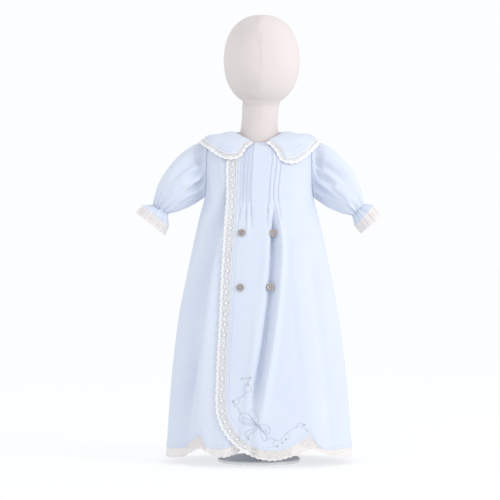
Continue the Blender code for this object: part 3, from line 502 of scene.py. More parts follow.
def over_hem(angle):
    """Lower edge of the wrapped front: a rounded corner, then scallops."""
    across = np.clip((CORNER_FOOT - angle) / (CORNER_FOOT - EDGE_ANGLES[0]), 0, 1)
    corner = between(CORNER_TOP, CORNER_LOW, np.sqrt(1 - across * across))
    rising = corner_rise(angle, CORNER_LOW, CUSP_CLOTH, RISE_CURVE)
    return np.where(angle > FRONT_POINT, cloth_hem(angle), np.where(angle >= CORNER_FOOT, rising, corner))


def over_lace_hem(angle):
    """Lower edge of the wrapped front's hem lace, right of the corner."""
    rising = corner_rise(angle, CORNER_LACE_LOW, CUSP_LACE, LACE_CURVE)
    return np.where(angle > FRONT_POINT, lace_hem(angle), rising)


def front_edge_angle(level):
    """Angle of the wrapped front's free edge at a level."""
    return np.interp(level, EDGE_LEVELS, EDGE_ANGLES)


def armhole_spread(level):
    """Half the armhole's opening, in degrees round the body."""
    share = np.clip((level - ARMPIT) / (SHOULDER_TIP - ARMPIT), 0, 1)
    return ARMHOLE_SPREAD * 2 * np.sqrt(share * (1 - share))


print("scallops:", len(SCALLOPS), "front edge at", EDGE_ANGLES[0], "degrees")

# %% [markdown]
# ## Making a piece
# Cloth is a pair of surfaces a little apart, joined round the rim, so that hems and cuffs show an edge and the
# inside is there when the gown is seen from below. One helper makes it from two grids of points. The UV map gives
# each point its distance along and across the cloth.

# %% Piece helpers
CLOTH = 0.7


def add_piece(name, verts, faces, material, slot, uv=None, replaced=()):
    """A named mesh piece from points in millimetres, which rides on the gown and may stand for solids."""
    mesh = bpy.data.meshes.new(name)
    mesh.from_pydata((np.asarray(verts) * MM).tolist(), [], [tuple(map(int, face)) for face in faces])
    mesh.materials.append(materials[material])
    mesh.shade_smooth()
    corners = np.zeros(len(mesh.loops), dtype=int)
    mesh.loops.foreach_get("vertex_index", corners)
    flat = np.asarray(verts)[:, (0, 2)] if uv is None else np.asarray(uv)
    mesh.uv_layers.new(name="cloth").data.foreach_set("uv", (flat[corners] * MM).ravel())
    piece = add_object(name, mesh)
    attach(piece, "root")
    if replaced:
        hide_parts(*replaced)
    return piece


def grid_uv(grid):
    """Distances across and along a grid of points."""
    across = np.linalg.norm(np.diff(grid, axis=1), axis=2)
    along = np.linalg.norm(np.diff(grid, axis=0), axis=2)
    u = np.concatenate([np.zeros((len(grid), 1)), np.cumsum(across, axis=1)], axis=1)
    v = np.concatenate([np.zeros((1, grid.shape[1])), np.cumsum(along, axis=0)], axis=0)
    return np.stack([u, v], -1)


def grid_normals(grid, closed):
    """Smooth directions square to a grid of points."""
    across = np.roll(grid, -1, 1) - np.roll(grid, 1, 1) if closed else np.gradient(grid, axis=1)
    return unit(np.cross(across, np.gradient(grid, axis=0)))


def joined(grid):
    """A closed grid with its first column again at its end."""
    return np.concatenate([grid, grid[:, :1]], axis=1)


def merged(parts):
    """The points and faces of several meshes as one."""
    starts = np.cumsum([0] + [len(points) for points, _ in parts])
    return (np.concatenate([points for points, _ in parts]),
            np.concatenate([faces + first for first, (_, faces) in zip(starts, parts)]))


def grid_faces(index):
    """Four-sided faces between the rows and columns of a grid of point numbers."""
    return np.stack([index[:-1, :-1], index[:-1, 1:], index[1:, 1:], index[1:, :-1]], -1).reshape(-1, 4)


def cloth_piece(name, outer, inner, replaced, closed=False):
    """A thin piece between two grids of points; a closed grid joins its last column to its first."""
    count = outer.shape[0] * outer.shape[1]
    index = np.arange(count).reshape(outer.shape[:2])
    rims = [index[0], index[-1][::-1], index[::-1, 0], index[:, -1]]
    if closed:
        index = joined(index)
        rims = [index[0], index[-1][::-1]]
    front = grid_faces(index)
    edges = [np.stack([rim[:-1], rim[:-1] + count, rim[1:] + count, rim[1:]], -1) for rim in rims]
    faces = np.concatenate([front, front[:, ::-1] + count] + edges)
    uv = grid_uv(outer).reshape(-1, 2)
    verts = np.concatenate([outer.reshape(-1, 3), inner.reshape(-1, 3)])
    piece = add_piece(name, verts, faces, "blue_batiste", "blue_batiste", np.concatenate([uv, uv]), (replaced,))
    piece.data.set_sharp_from_angle(angle=math.radians(70))
    print(name, "points:", len(verts))


# %% [markdown]
# ## Fronts and back
# Each is one flat piece of cloth, seamed at sides and shoulders. The pin tucks are tiny folds stitched down from the
# neck and pressed towards the sides, so each has a sharp step on the side of the centre front and slopes away on
# the other. They are raised in the outer points of the wrapped front. Close to a sewn edge the cloth is double and
# puckers a little, which shows most in raking light.

# %% Panel functions
TUCK_EDGES, TUCK_WIDTH, TUCK_STEP, TUCK_RISE = (-25.3, -20.0, -14.0, 15.3, 21.5, 28.0), 3.8, 0.3, 1.3
TUCK_GROOVE, GROOVE_WIDTH, RIGHT_TUCK_SHARE = 1.2, 1.5, 0.6
TUCK_LEAN, LEAN_LEVELS = 7.6, (5.7, 8.0)
LEAN_ANGLES, LEAN_SHARES = (-31, -13, 15, 31, 62), (0, 0.25, 1, 1, 0)
TUCK_END_LEVELS = (5.5, 6.0)
WRAP_DEPTH, WRAP_RAMP, LACE_WIDTH = 2.3, 7.0, 15.5
UNDER_DEPTH, UNDER_FROM, UNDER_RAMP, UNDER_LEVELS = 6.0, -30.0, 20.0, (7.2, 5.7)
FOLD_ROOM, SEAM_HALF_GAP = 8.0, 0.05


def stretch(angle, pivot, end, new_end):
    """Moves angles beyond the pivot so that the end lands on new_end."""
    beyond = (angle - pivot) * (end - pivot) > 0
    return np.where(beyond, pivot + (angle - pivot) * (new_end - pivot) / (end - pivot), angle)


def seam_shift(level):
    """Degrees from the side seam's line to a panel's edge: the armhole, or half the seam."""
    return armhole_spread(level) + np.degrees(SEAM_HALF_GAP / rows_at(SECTIONS, level)[..., 3])


def over_shift(angle, level):
    """Fits the wrapped front between its free edge and the side seam, leaning with the tucks."""
    fitted = stretch(stretch(angle, -29.4, -31, front_edge_angle(level)), 62, 90, 90 - seam_shift(level))
    return fitted + TUCK_LEAN * np.interp(angle, LEAN_ANGLES, LEAN_SHARES) * soft_step(level, *LEAN_LEVELS)


def under_shift(angle, level):
    """Fits the under front to the side seam."""
    return stretch(angle, -62, -90, seam_shift(level) - 90)


def back_shift(angle, level):
    """Fits the back between the two side seams."""
    return stretch(stretch(angle, 118, 90, 90 + seam_shift(level)), 242, 270, 270 - seam_shift(level))


def tuck_rise(angle, level):
    """Height of the pin tucks."""
    total = np.zeros(np.broadcast(angle, level).shape)
    for edge in TUCK_EDGES:
        past = (angle - edge) * math.copysign(1, edge)
        beyond = past / TUCK_WIDTH
        step = np.clip((past + TUCK_STEP) / (2 * TUCK_STEP), 0, 1)
        raised = TUCK_RISE * step * np.clip(1 - beyond, 0, 1) * (beyond < 1.001)
        pressed = TUCK_GROOVE * np.clip(1 - np.abs(past + TUCK_STEP) / GROOVE_WIDTH, 0, 1) * (past < 0)
        total = total + (raised - pressed) * soft_step(level, *TUCK_END_LEVELS) * (RIGHT_TUCK_SHARE if edge > 0 else 1)
    return total


def wrap_sink(angle, level):
    """How far the under front lies below the surface where the wrapped front covers it."""
    edge = front_edge_angle(level)
    reach = np.degrees(LACE_WIDTH / np.linalg.norm(surface(edge, level)[..., :2], axis=-1))
    room = UNDER_DEPTH * soft_step(level, *UNDER_LEVELS) + FOLD_ROOM * soft_step((5.6 - level) / 1.1)
    deeper = room * soft_step((angle - UNDER_FROM) / UNDER_RAMP)
    return WRAP_DEPTH * soft_step((angle - edge + reach) / WRAP_RAMP + 1) + deeper


def no_relief(angle, level):
    """Neither raised nor sunk."""
    return np.zeros(np.broadcast(angle, level).shape)


def edge_puckers(distance, across):
    """Small puckers beside a sewn edge, and the step of its turned hem."""
    wave = 0.45 * (1 + np.sin(across * 0.19)) * np.sin(across * 1.0 + np.sin(across * 0.23)) * np.exp(-distance / 7.0)
    return wave + 0.18 * soft_step((6.2 - distance) / 0.6)


# %% Build the panels
def build_panel(name, angles, hem, cloth, shift, sink, relief, rows=216):
    """One panel as a fine piece, laid on the worn gown's surface."""
    start = np.interp(level_at(hem(angles)), LEVELS, CLIMB)
    climb = between(start, CLIMB[-1], np.linspace(0, 1, rows)[:, None])
    level = np.interp(climb, CLIMB, LEVELS)
    angle = np.broadcast_to(angles, level.shape)
    moved = shift(angle, level)
    base, normal = laid(moved, level, cloth)
    raised, sunk = relief(angle, level), sink(moved, level)
    lift = raised - sunk + edge_puckers(climb - start, base[..., 0] + base[..., 1])
    inner = base - normal * (CLOTH + sunk - np.minimum(raised, 0))[..., None]
    cloth_piece(name + "_cloth", base + normal * lift[..., None], inner, name)


# The wrapped front has more columns at its main fold, and at each tuck's step
tuck_angles = [e + math.copysign(d, d * e) for e in TUCK_EDGES for d in (-1.6, -1.0, -0.5, -0.3, 0.3, 1.4, 2.6, 3.8)]
over_angles = np.unique(np.round(np.concatenate([
    np.arange(-31, 90.01, 1.35), np.arange(-13.45, 27, 1.35), [90.0], tuck_angles]), 3))
build_panel("front_over", over_angles, lambda a: over_hem(np.maximum(a, EDGE_ANGLES[0])), OVER, over_shift,
            no_relief, tuck_rise)
build_panel("front_under", np.linspace(-90, 30, 80), cloth_hem, UNDER, under_shift, wrap_sink, no_relief)
build_panel("back", np.linspace(90, 270, 132), cloth_hem, BACK, back_shift, no_relief, no_relief)

# %% [markdown]
# ## Sleeves
# A puffed sleeve is one piece, gathered into the armhole, closed by elastic above the wrist and left loose below it
# as a frill. It is a path of rings from the armhole to the frill. The elastic draws in many small uneven gathers,
# which run out over a few centimetres on each side, and the head of the sleeve has deep soft folds at the armhole.

# %% Sleeve tables
# Each row: outer x, outer z, underarm x, underarm z, half depth, middle y, gather. The last row is the lace's edge.
SLEEVE_RINGS = {
    "left": np.array([
        (96, 509.5, 90, 420, 25, 0, 0), (113, 500.5, 99, 413.5, 28, -1, 0), (129, 487.5, 110, 407.5, 29.5, -2, 0),
        (146, 468, 121, 402.5, 28.5, -3, 0.1), (160, 445, 132, 398.8, 25, -4, 0.5),
        (166, 426, 140.5, 397.5, 19, -5, 1.1), (168, 416.5, 144, 396.8, 14.5, -6, 1.5),
        (169, 410, 146, 395.8, 11.5, -6, 1.5), (175, 409.5, 146, 389.5, 13.5, -6, 1.4),
        (186, 409.3, 144.5, 375.7, 19, -6, 1.2), (197, 397.5, 150.5, 360.5, 22, -6, 2.4),
    ]),
    "right": np.array([
        (96, 510.5, 91, 418.5, 25, 0, 0), (114, 501.5, 101, 411, 28, -1, 0), (131, 487, 113, 404, 29.5, -2, 0),
        (147, 468.5, 124, 399.5, 28.5, -3, 0.1), (160, 445, 134, 396, 25, -4, 0.5),
        (165, 426, 143, 394.5, 19, -5, 1.1), (166, 416, 148, 393.6, 14.5, -6, 1.5),
        (167.5, 410.5, 150, 392.6, 11.5, -6, 1.5), (173, 411, 151, 386.5, 13.5, -6, 1.4),
        (183, 409.3, 153.6, 376, 19, -6, 1.2), (196.5, 392.6, 163.2, 363.7, 22, -6, 2.4),
    ]),
}
SIDES = {"left": -1, "right": 1}
ARMHOLE_LIFT, ARMHOLE_GROW, FREE_GATHER = 0.6, 1.6, 0.8
SLEEVE_TWIST = {"left": 0.0, "right": 7.0}
# Each row: angle round the sleeve, places along it where the fold starts and ends, spread, rise
SLEEVE_FOLDS = [
    (30, -0.5, 5.5, 12, -3.6), (56, -0.8, 3.6, 11, -5.0), (84, 0.4, 6.0, 14, 3.0), (112, -0.6, 4.2, 11, -4.2),
    (140, 0.8, 6.5, 14, 2.4), (205, 0.0, 6.0, 14, -2.6), (238, -0.6, 4.5, 15, -3.0), (275, 0.5, 6.0, 17, 2.4),
    (310, -0.5, 4.5, 13, -2.8), (112, -0.9, 1.5, 30, -8.4), (58, 0.2, 3.0, 9, -8.0), (88, 0.6, 3.0, 7, -6.6),
    (73, 0.4, 3.4, 6, 3.2), (38, 0.4, 4.4, 7, -3.2), (103, 0.8, 4.2, 6, 2.6), (20, -0.2, 2.4, 14, -3.4),
    (245, -0.7, 1.9, 26, -4.0), (18, 0.2, 4.0, 5, -2.0), (42, 0.1, 3.0, 5, 2.4), (68, 0.1, 2.4, 4, -2.4),
    (76, 1.0, 5.0, 5, -2.0), (98, 0.1, 3.4, 5, 2.2), (124, 0.2, 3.0, 5, 2.0), (150, 0.1, 2.6, 6, -1.8),
    (60, 4.6, 8.0, 5, -1.8), (74, 4.8, 8.0, 4, 1.4), (88, 4.4, 8.0, 5, -2.0), (104, 4.9, 8.0, 4, 1.4),
    (120, 4.6, 8.0, 5, -1.8), (46, 4.9, 8.0, 4, 1.2), (136, 4.9, 8.0, 4, 1.2), (220, 0.1, 3.6, 5, 1.3),
    (256, 0.2, 4.2, 6, -1.2), (292, 0.1, 3.2, 5, 1.4), (330, 0.2, 4.6, 6, -1.2), (190, 1.0, 5.4, 6, 1.0),
]
# Each row: waves round the elastic, where they start in radians, share of the gather
GATHER_WAVES = [(9, 0, 0.5), (16, 0.8, 0.4), (25, 2.7, 0.35), (41, 1.3, 0.18)]
SEAM_ROWS = [(4.2, 2.4), (2.0, 1.2)]
SLEEVE_TURNS = np.linspace(0, 360, 220, endpoint=False)
SLEEVE_PLACES = np.unique(np.round(np.concatenate([np.linspace(0, 6, 56), np.linspace(6, 10, 52)]), 3))


# %% Build the sleeves
def armhole_points(side, turn):
    """Points round the armhole: turn 0 at the armpit, 90 at the front edge, 180 at the shoulder tip."""
    t = np.radians(turn)
    level = between(ARMPIT, SHOULDER_TIP, (1 - np.cos(t)) / 2)
    points = laid(90 - ARMHOLE_SPREAD * np.sin(t), level, lift=ARMHOLE_LIFT)[0]
    return (points + np.stack([0 * t, -np.sin(t), -np.cos(t)], -1) * ARMHOLE_GROW) * (side, 1, 1)


def ring_points(ring, side, turn):
    """Points round one sleeve ring, with its gathers."""
    outer_x, outer_z, under_x, under_z, depth, middle_y, gather = ring
    top, low = np.array([outer_x, middle_y, outer_z]), np.array([under_x, middle_y, under_z])
    centre, reach = (top + low) / 2, (top - low) / 2
    t = np.radians(turn)
    wave = gather * sum(share * np.cos(count * t + start) for count, start, share in GATHER_WAVES)
    points = centre - reach * ((1 + wave / np.linalg.norm(reach)) * np.cos(t))[:, None]
    points[:, 1] -= (depth + wave) * np.sin(t)
    return points * (side, 1, 1)


def sleeve_relief(turn, place):
    """How far folds, creases and small gathers push the sleeve's cloth out."""
    total = np.zeros(np.broadcast(turn, place).shape)
    for angle, start, end, spread, rise in SLEEVE_FOLDS:
        along = np.clip((place - start) / (end - start), 0, 1)
        total = total + rise * np.sin(np.pi * along) * bell((turn - angle + 180) % 360 - 180, 0, spread)
    t = np.radians(turn)
    head = bell(place, 0.35, 0.5) * soft_step(place / 0.3) * (np.cos(22 * t + 0.4) + 0.6 * np.cos(37 * t + 2.0))
    elastic = bell(place, 8, 1.6) * (np.cos(23 * t + 1.1) + 0.7 * np.cos(37 * t + 0.3 + 0.5 * place))
    return total * soft_step(place) + 0.55 * (head + elastic)


def sleeve_grid(side_name):
    """Points of a sleeve's cloth from the armhole to the frill, after two rows that turn in under the panels."""
    side, turns = SIDES[side_name], SLEEVE_TURNS
    start = armhole_points(side, turns)
    path = np.stack([start] + [ring_points(ring, side, turns) for ring in SLEEVE_RINGS[side_name][:-1]])
    grid = rows_at(path.reshape(len(path), -1), SLEEVE_PLACES).reshape(len(SLEEVE_PLACES), len(turns), 3)
    away = unit(grid - grid.mean(axis=1, keepdims=True))
    grid = grid + away * sleeve_relief(turns[None] + SLEEVE_TWIST[side_name], SLEEVE_PLACES[:, None])[..., None]
    inward = unit((start.mean(axis=0) - start) * (0, 1, 1))
    turned_in = np.stack([start + inward * grow - (side * drop, 0, 0) for grow, drop in SEAM_ROWS])
    return np.concatenate([turned_in, grid])[:, ::-side]


sleeve_grids = {side_name: sleeve_grid(side_name) for side_name in SIDES}
for side_name, grid in sleeve_grids.items():
    cloth_piece("sleeve_cloth_" + side_name, grid, grid - grid_normals(grid, True) * CLOTH, "sleeve_" + side_name,
                closed=True)

# %% [markdown]
# ## Collar
# The wide collar is one C-shaped piece sewn into the neckline. It rolls over just outside the seam and then lies on
# the shoulders, so it is a strip of points from the neckline to an outer line, lifted a little where it rolls.

# %% Build the collar
# Each row: angle on the neckline, angle, level and lift at the collar's edge, from one leading edge to the other
COLLAR = np.array([
    (24, 39.7, 7.74, 0.0), (34, 46.5, 7.64, 0.0), (45, 54, 7.76, 0.4), (58, 62.5, 8.05, 2.0), (73, 73, 8.50, 4.5),
    (89, 89.5, 8.90, 7.0), (107, 105, 8.75, 4.0), (127, 123, 8.35, 1.0), (152, 150, 8.00, 0.0),
    (180, 180, 7.90, 0.0), (208, 210, 8.00, 0.0), (233, 237, 8.35, 1.0), (253, 255, 8.75, 4.0),
    (271, 271, 8.92, 5.5), (287, 291, 8.56, 3.5), (302, 300.5, 8.22, 1.6), (315, 308, 8.00, 0.4),
    (327, 315.7, 7.92, 0.0), (338, 324, 8.06, 0.0),
])
COLLAR_LIFT, COLLAR_ROLL, COLLAR_LACE_WIDTH = 3.2, 1.6, 10.8
COLLAR_ROWS, COLLAR_SHARES = np.linspace(0, len(COLLAR) - 1, 289), np.linspace(0, 1, 30)


def collar_grid(rows, shares):
    """Points of the collar: shares run from neckline to edge, rows from one leading edge to the other."""
    neck_angle, outer_angle, outer_level, extra = np.moveaxis(rows_at(COLLAR, rows), -1, 0)
    share = shares[:, None]
    angle, level = between(neck_angle, outer_angle, share), between(NECK, outer_level, share)
    wave = 0.5 * np.sin(rows * 2.3 + 1.0) + 0.35 * np.sin(rows * 4.1)
    lift = COLLAR_LIFT + COLLAR_ROLL * np.sin(np.pi * np.minimum(share / 0.45, 1.0)) + extra * share * share
    lift = lift + wave * share * share * 0.7 + 0.12 * np.sin(rows * 31) * soft_step((share - 0.93) / 0.07)
    return laid(angle, level, lift=lift)[0]


collar_points = collar_grid(COLLAR_ROWS, COLLAR_SHARES)
collar_normals = grid_normals(collar_points[::-1], False)[::-1]
cloth_piece("collar_cloth", collar_points[::-1], (collar_points - collar_normals * CLOTH)[::-1], "collar")

# %% [markdown]
# ## Lace
# Real lace is thread with holes in it, so it is modelled as that. One repeat is worked out as a pattern: a firm
# heading that is sewn on, a net ground with a flower in each repeat, and a dense scalloped edge. The pattern is cut
# from a fine grid along its outline, once, and the repeat is then laid again and again along each edge and bent with
# the cloth. An image with transparent holes would be lighter, but has no thickness and no shadow through its holes.

# %% Pattern of one repeat
LACE_PITCH, LACE_CELL, NET_STEP, NET_START = 16.8, 0.5, 1.9, 2.7
LaceKind = namedtuple("LaceKind", "width petal hole")
EDGE_LACE, HEM_LACE = LaceKind(15.5, 2.5, 0.66), LaceKind(15.5, 2.5, 0.45)
COLLAR_LACE, CUFF_LACE = LaceKind(10.8, 1.9, 0.66), LaceKind(10.8, 1.9, 0.42)


def lace_edge(x, kind):
    """Outer edge of the lace: scallops with small picots."""
    lobe = np.abs(2 * (x / LACE_PITCH * 2 % 1) - 1)
    return kind.width - 1.5 * lobe ** 2.4 - 0.22 * np.abs(np.sin(np.pi * 13 * x / LACE_PITCH))


def blossom(x, y, kind):
    """A five-petalled flower in each half repeat, one high and one low: positive inside, with reach and turn."""
    half = LACE_PITCH / 2
    high = (np.floor(x / half + 1e-9) % 2).astype(bool)
    dx, dy = (x + 1e-9) % half - half / 2, y - kind.width * np.where(high, 0.42, 0.53)
    reach, turn = np.hypot(dx, dy), np.arctan2(dy, dx)
    return kind.petal * (0.80 + 0.24 * np.cos(5 * turn + math.pi / 2)) - reach, reach, turn


def hole_row(x, y, count, radius):
    """A row of round holes, negative inside, with the given count in a repeat."""
    return np.hypot((x / LACE_PITCH * count % 1 - 0.5) * LACE_PITCH / count, y) - radius


def lace_pattern(x, y, kind):
    """Positive where there is thread, from its heading at y = 0 to its edge at y = the width."""
    row = np.round((y - NET_START) / NET_STEP)
    net = hole_row(x + row % 2 * LACE_PITCH / 16, y - NET_START - row * NET_STEP, 8, kind.hole)
    flower, reach, turn = blossom(x, y, kind)
    gap = kind.hole - 0.14 - np.abs(flower + 0.70)
    field = np.where(gap > 0, np.maximum(0.24 - np.abs(np.sin(5 * turn)) * reach / 5, -gap), net)
    field = np.maximum(field, np.minimum(flower, reach - 0.6))
    edge = lace_edge(x, kind)
    border = np.minimum(y - edge + 2.9, hole_row(x, y - edge + 1.5, 8, kind.hole - 0.33))
    heading = np.minimum(1.8 - y, hole_row(x, y - 1.05, 7, 0.40))
    return np.minimum(np.maximum.reduce([field, border, heading]), edge - y)


def lace_relief(x, y, kind):
    """Height of the thicker parts: flower, border and heading."""
    flower, border = blossom(x, y, kind)[0], y - lace_edge(x, kind) + 2.9
    return 0.28 * soft_step(flower / 0.5 + 0.5) + 0.24 * soft_step(border / 0.5) + 0.1 * soft_step((1.8 - y) / 0.4)


def cut_cell(corners, values, verts):
    """Triangles of one square cell of the pattern, cut along the line where it is zero."""
    ring = []
    for k in range(4):
        (x0, y0), (x1, y1), a, b = corners[k], corners[(k + 1) % 4], values[k], values[(k + 1) % 4]
        if a >= 0:
            ring.append((x0, y0))
        if (a >= 0) != (b >= 0):
            ring.append((x0 + (x1 - x0) * a / (a - b), y0 + (y1 - y0) * a / (a - b)))
    first = len(verts)
    verts.extend(ring)
    return [(first, first + k, first + k + 1) for k in range(1, len(ring) - 1)]


def lace_repeat(kind):
    """One repeat of lace: points along and across it, and triangles."""
    xs, ys = (np.linspace(0, size, round(size / LACE_CELL) + 1) for size in (LACE_PITCH, kind.width))
    field = lace_pattern(xs[None, :], ys[:, None], kind)
    verts, faces = [], []
    for r in range(len(ys) - 1):
        for c in range(len(xs) - 1):
            cell = [(r, c), (r, c + 1), (r + 1, c + 1), (r + 1, c)]
            faces += cut_cell([(xs[j], ys[i]) for i, j in cell], [field[place] for place in cell], verts)
    return np.array(verts), np.array(faces)


LACE_REPEATS = {kind: lace_repeat(kind) for kind in (EDGE_LACE, HEM_LACE, COLLAR_LACE, CUFF_LACE)}
print("triangles in a repeat:", [len(faces) for _, faces in LACE_REPEATS.values()])


# %% Laying lace
def grid_value(grid, row, column):
    """Values of a grid at fractional rows and columns."""
    r = np.clip(np.floor(row).astype(int), 0, grid.shape[0] - 2)
    c = np.clip(np.floor(column).astype(int), 0, grid.shape[1] - 2)
    u, v = (row - r)[:, None], (column - c)[:, None]
    low = grid[r, c] * (1 - v) + grid[r, c + 1] * v
    return low * (1 - u) + (grid[r + 1, c] * (1 - v) + grid[r + 1, c + 1] * v) * u


def lay_lace(name, grid, normals, kind, material, replaced, ripple, closed=False, change=1e9):
    """Lace along a grid of points from its sewn edge to its free edge; beyond the change it is hem lace in the darker
    lace finish, which is painted shade.
    """
    if closed:
        grid, normals = joined(grid), joined(normals)
    along = distances(grid[len(grid) // 2])
    repeats = max(1, round(along[-1] / LACE_PITCH))
    parts = [LACE_REPEATS[kind if k * LACE_PITCH < change else HEM_LACE] for k in range(repeats)]
    points, faces = merged([(points + (k * LACE_PITCH, 0), faces) for k, (points, faces) in enumerate(parts)])
    x, y = points.T
    key = np.round(np.stack([x % (repeats * LACE_PITCH) if closed else x, y], -1), 3)
    flat, back = np.unique(key, axis=0, return_inverse=True)
    faces = back.reshape(-1)[faces]
    faces = faces[np.all(faces != np.roll(faces, 1, axis=1), axis=1)]
    x, y = flat.T
    reach, share = x / (repeats * LACE_PITCH) * along[-1], y / kind.width
    column, row = np.interp(reach, along, np.arange(len(along))), share * (len(grid) - 1)
    amount, length = ripple
    ends = 1.0 if closed else soft_step(reach / 12) * soft_step((along[-1] - reach) / 12)
    phase = math.tau * reach / length + 0.9 * np.sin(reach / 31.0)
    lift = lace_relief(x, y, kind) + amount * np.sin(phase) * share ** 1.2 * ends
    points = grid_value(grid, row, column) + grid_value(normals, row, column) * lift[:, None]
    piece = add_piece(name, points, faces, material, "white_lace", flat, (replaced,))
    piece.data.materials.append(materials["hem_lace"])
    piece.data.polygons.foreach_set("material_index", (x[faces].max(axis=1) > change).astype(int))
    print(name, "repeats:", repeats, "triangles:", len(faces), "length:", round(float(along[-1])), "mm")


# %% Lace on the fronts and the back
def hem_lace_grid(angle, cloth, shift, sink, rows=7):
    """Points and directions of lace that hangs beyond a panel's hem."""
    level = between(level_at(cloth_hem(angle)), level_at(lace_hem(angle)), np.linspace(-0.05, 1, rows)[:, None])
    moved = shift(np.broadcast_to(angle, level.shape), level)
    return laid(moved, level, cloth, -sink(moved, level) - CLOTH / 2)


def front_lace_outer(angle, level):
    """Where the wrapped front's lace ends beyond places on the panel's free edge or hem."""
    base = surface(angle, level)
    z, radius = base[:, 2], np.linalg.norm(base[:, :2], axis=1)
    wide = CORNER_FOOT - EDGE_ANGLES[0]
    across = np.where(z > CORNER_TOP, 1.0, (CORNER_FOOT - angle) / wide / math.radians(wide) / radius)
    down = np.maximum(CORNER_TOP - z, 0) / (CORNER_TOP - CORNER_LOW) ** 2
    size = np.hypot(across, down) + 1e-12
    right = angle >= CORNER_FOOT
    angle_out = np.where(right, angle, angle - np.degrees(LACE_WIDTH * across / size / radius))
    beside = np.where(z > CORNER_TOP, level, level_at(z - LACE_WIDTH * down / size))
    return angle_out, np.where(right, level_at(over_lace_hem(angle)), beside)


def front_lace_path():
    """Places along the wrapped front's free edge from the neck, round its corner and along its hem."""
    top = level_at(over_hem(np.array([EDGE_ANGLES[0]]))[0])
    levels = np.interp(np.linspace(CLIMB[-1], np.interp(top, LEVELS, CLIMB), 190), CLIMB, LEVELS)
    turn = np.linspace(0, 1, 90)[1:]
    corner = between(EDGE_ANGLES[0], CORNER_FOOT, 1 - np.cos(turn * np.pi / 2))
    hem = np.concatenate([corner, np.arange(CORNER_FOOT + 0.7, 90.0, 0.7), [90.0]])
    angles = np.concatenate([front_edge_angle(levels), over_shift(hem, level_at(over_hem(hem)))])
    return angles, np.concatenate([levels, level_at(over_hem(hem))])


lace_angle, lace_level = front_lace_path()
outer_angle, outer_level = front_lace_outer(lace_angle, lace_level)
share = np.linspace(-0.05, 1, 7)[:, None]
angles, levels = between(lace_angle, outer_angle, share), between(lace_level, outer_level, share)
# Beyond the change, round the corner and along the hem, the front lace is in the darker lace finish: painted shade
lay_lace("front_lace", *laid(angles, levels, OVER, -CLOTH / 2), EDGE_LACE, "white_lace", "lace_over", (0.5, 18.0),
         change=528)
HEMS = {"under": (np.linspace(-90, 30, 170), UNDER, under_shift, wrap_sink),
        "back": (np.linspace(90, 270, 240), BACK, back_shift, no_relief)}
# The hem lace is in the darker lace finish: painted shade
for name, plan in HEMS.items():
    lay_lace(name + "_hem_lace", *hem_lace_grid(*plan), HEM_LACE, "hem_lace", "lace_" + name, (0.8, 14.0))


# %% Lace on the collar and the cuffs
def collar_lace_path():
    """The collar's leading and outer edges, with the directions square to the cloth."""
    rise = np.linspace(5, len(COLLAR_SHARES) - 1, 25).astype(int)
    last_row, last_share = len(COLLAR_ROWS) - 1, len(COLLAR_SHARES) - 1
    path = [(s, 0) for s in rise] + [(last_share, k) for k in range(1, last_row + 1)]
    share, row = np.array(path + [(s, last_row) for s in rise[::-1][1:]]).T
    return collar_points[share, row], collar_normals[share, row]


def smoothed(values, width):
    """A line of directions averaged over neighbours."""
    padded = np.pad(values, ((width, width), (0, 0)), "edge")
    kernel = np.hanning(2 * width + 1)
    return unit(np.stack([np.convolve(padded[:, k], kernel / kernel.sum(), "valid") for k in range(3)], -1))


edge, normal = collar_lace_path()
away, normal = smoothed(np.cross(np.gradient(edge, axis=0), normal), 7), smoothed(normal, 5)
reach = np.linspace(-0.8, COLLAR_LACE_WIDTH, 6)[:, None, None]
grid = edge[None] + away[None] * reach - normal[None] * (CLOTH / 2)
lay_lace("collar_edge_lace", grid, np.broadcast_to(normal, grid.shape), COLLAR_LACE, "white_lace", "collar_lace",
         (0.45, 21.0))
# The cuff lace is in the darker lace finish too: painted shade
for side_name, side in SIDES.items():
    sewn = sleeve_grids[side_name][-2:]
    free = ring_points((*SLEEVE_RINGS[side_name][-1][:-1], FREE_GATHER), side, SLEEVE_TURNS)[::-side]
    grid = between(sewn[-1], free, np.linspace(0, 1, 6)[:, None, None])
    normals = grid_normals(np.concatenate([sewn[:1], grid]), True)[1:]
    lay_lace("cuff_edge_lace_" + side_name, grid - normals * CLOTH / 2, normals, CUFF_LACE, "hem_lace",
             "cuff_lace_" + side_name, (0.25, 23.0), closed=True)

# %% [markdown]
# ## Sewing
# A hand-finished gown shows its stitches: along the pin tucks, beside the lace, round the collar and the elastic.
# Each stitch is a small grain of thread that lies on the cloth. Modelled stitches catch the light one by one, which
# a painted dashed line doesn't.

# %% Stitch helpers
def stitch_mesh(middles, ahead, up, length, radius):
    """Grains of thread, each a closed spindle along its own direction."""
    side = unit(np.cross(up, ahead))
    points = [middles - ahead * length / 2]
    for share in (-0.32, 0.32):
        points += [middles + ahead * length * share + way * radius for way in (side, up, -side, -up)]
    verts = np.stack(points + [middles + ahead * length / 2], axis=1)
    faces = []
    for k in range(4):
        j = (k + 1) % 4
        faces += [(0, 1 + k, 1 + j), (1 + j, 1 + k, 5 + k), (1 + j, 5 + k, 5 + j), (9, 5 + j, 5 + k)]
    firsts = 10 * np.arange(len(middles))[:, None, None]
    return verts.reshape(-1, 3), (np.array(faces)[None] + firsts).reshape(-1, 3)


def along_run(points, normals, spacing):
    """Evenly spaced places on a line, with the direction ahead and the direction up."""
    travelled = distances(points)
    count = max(2, int(travelled[-1] / spacing))
    at = (np.arange(count) + 0.5) * travelled[-1] / count
    place, later, before, up = (np.stack([np.interp(at + step, travelled, line[:, k]) for k in range(3)], -1)
                                for line, step in ((points, 0), (points, 0.3), (points, -0.3), (normals, 0)))
    ahead = unit(later - before)
    return place, ahead, unit(up - ahead * np.sum(up * ahead, axis=1, keepdims=True))


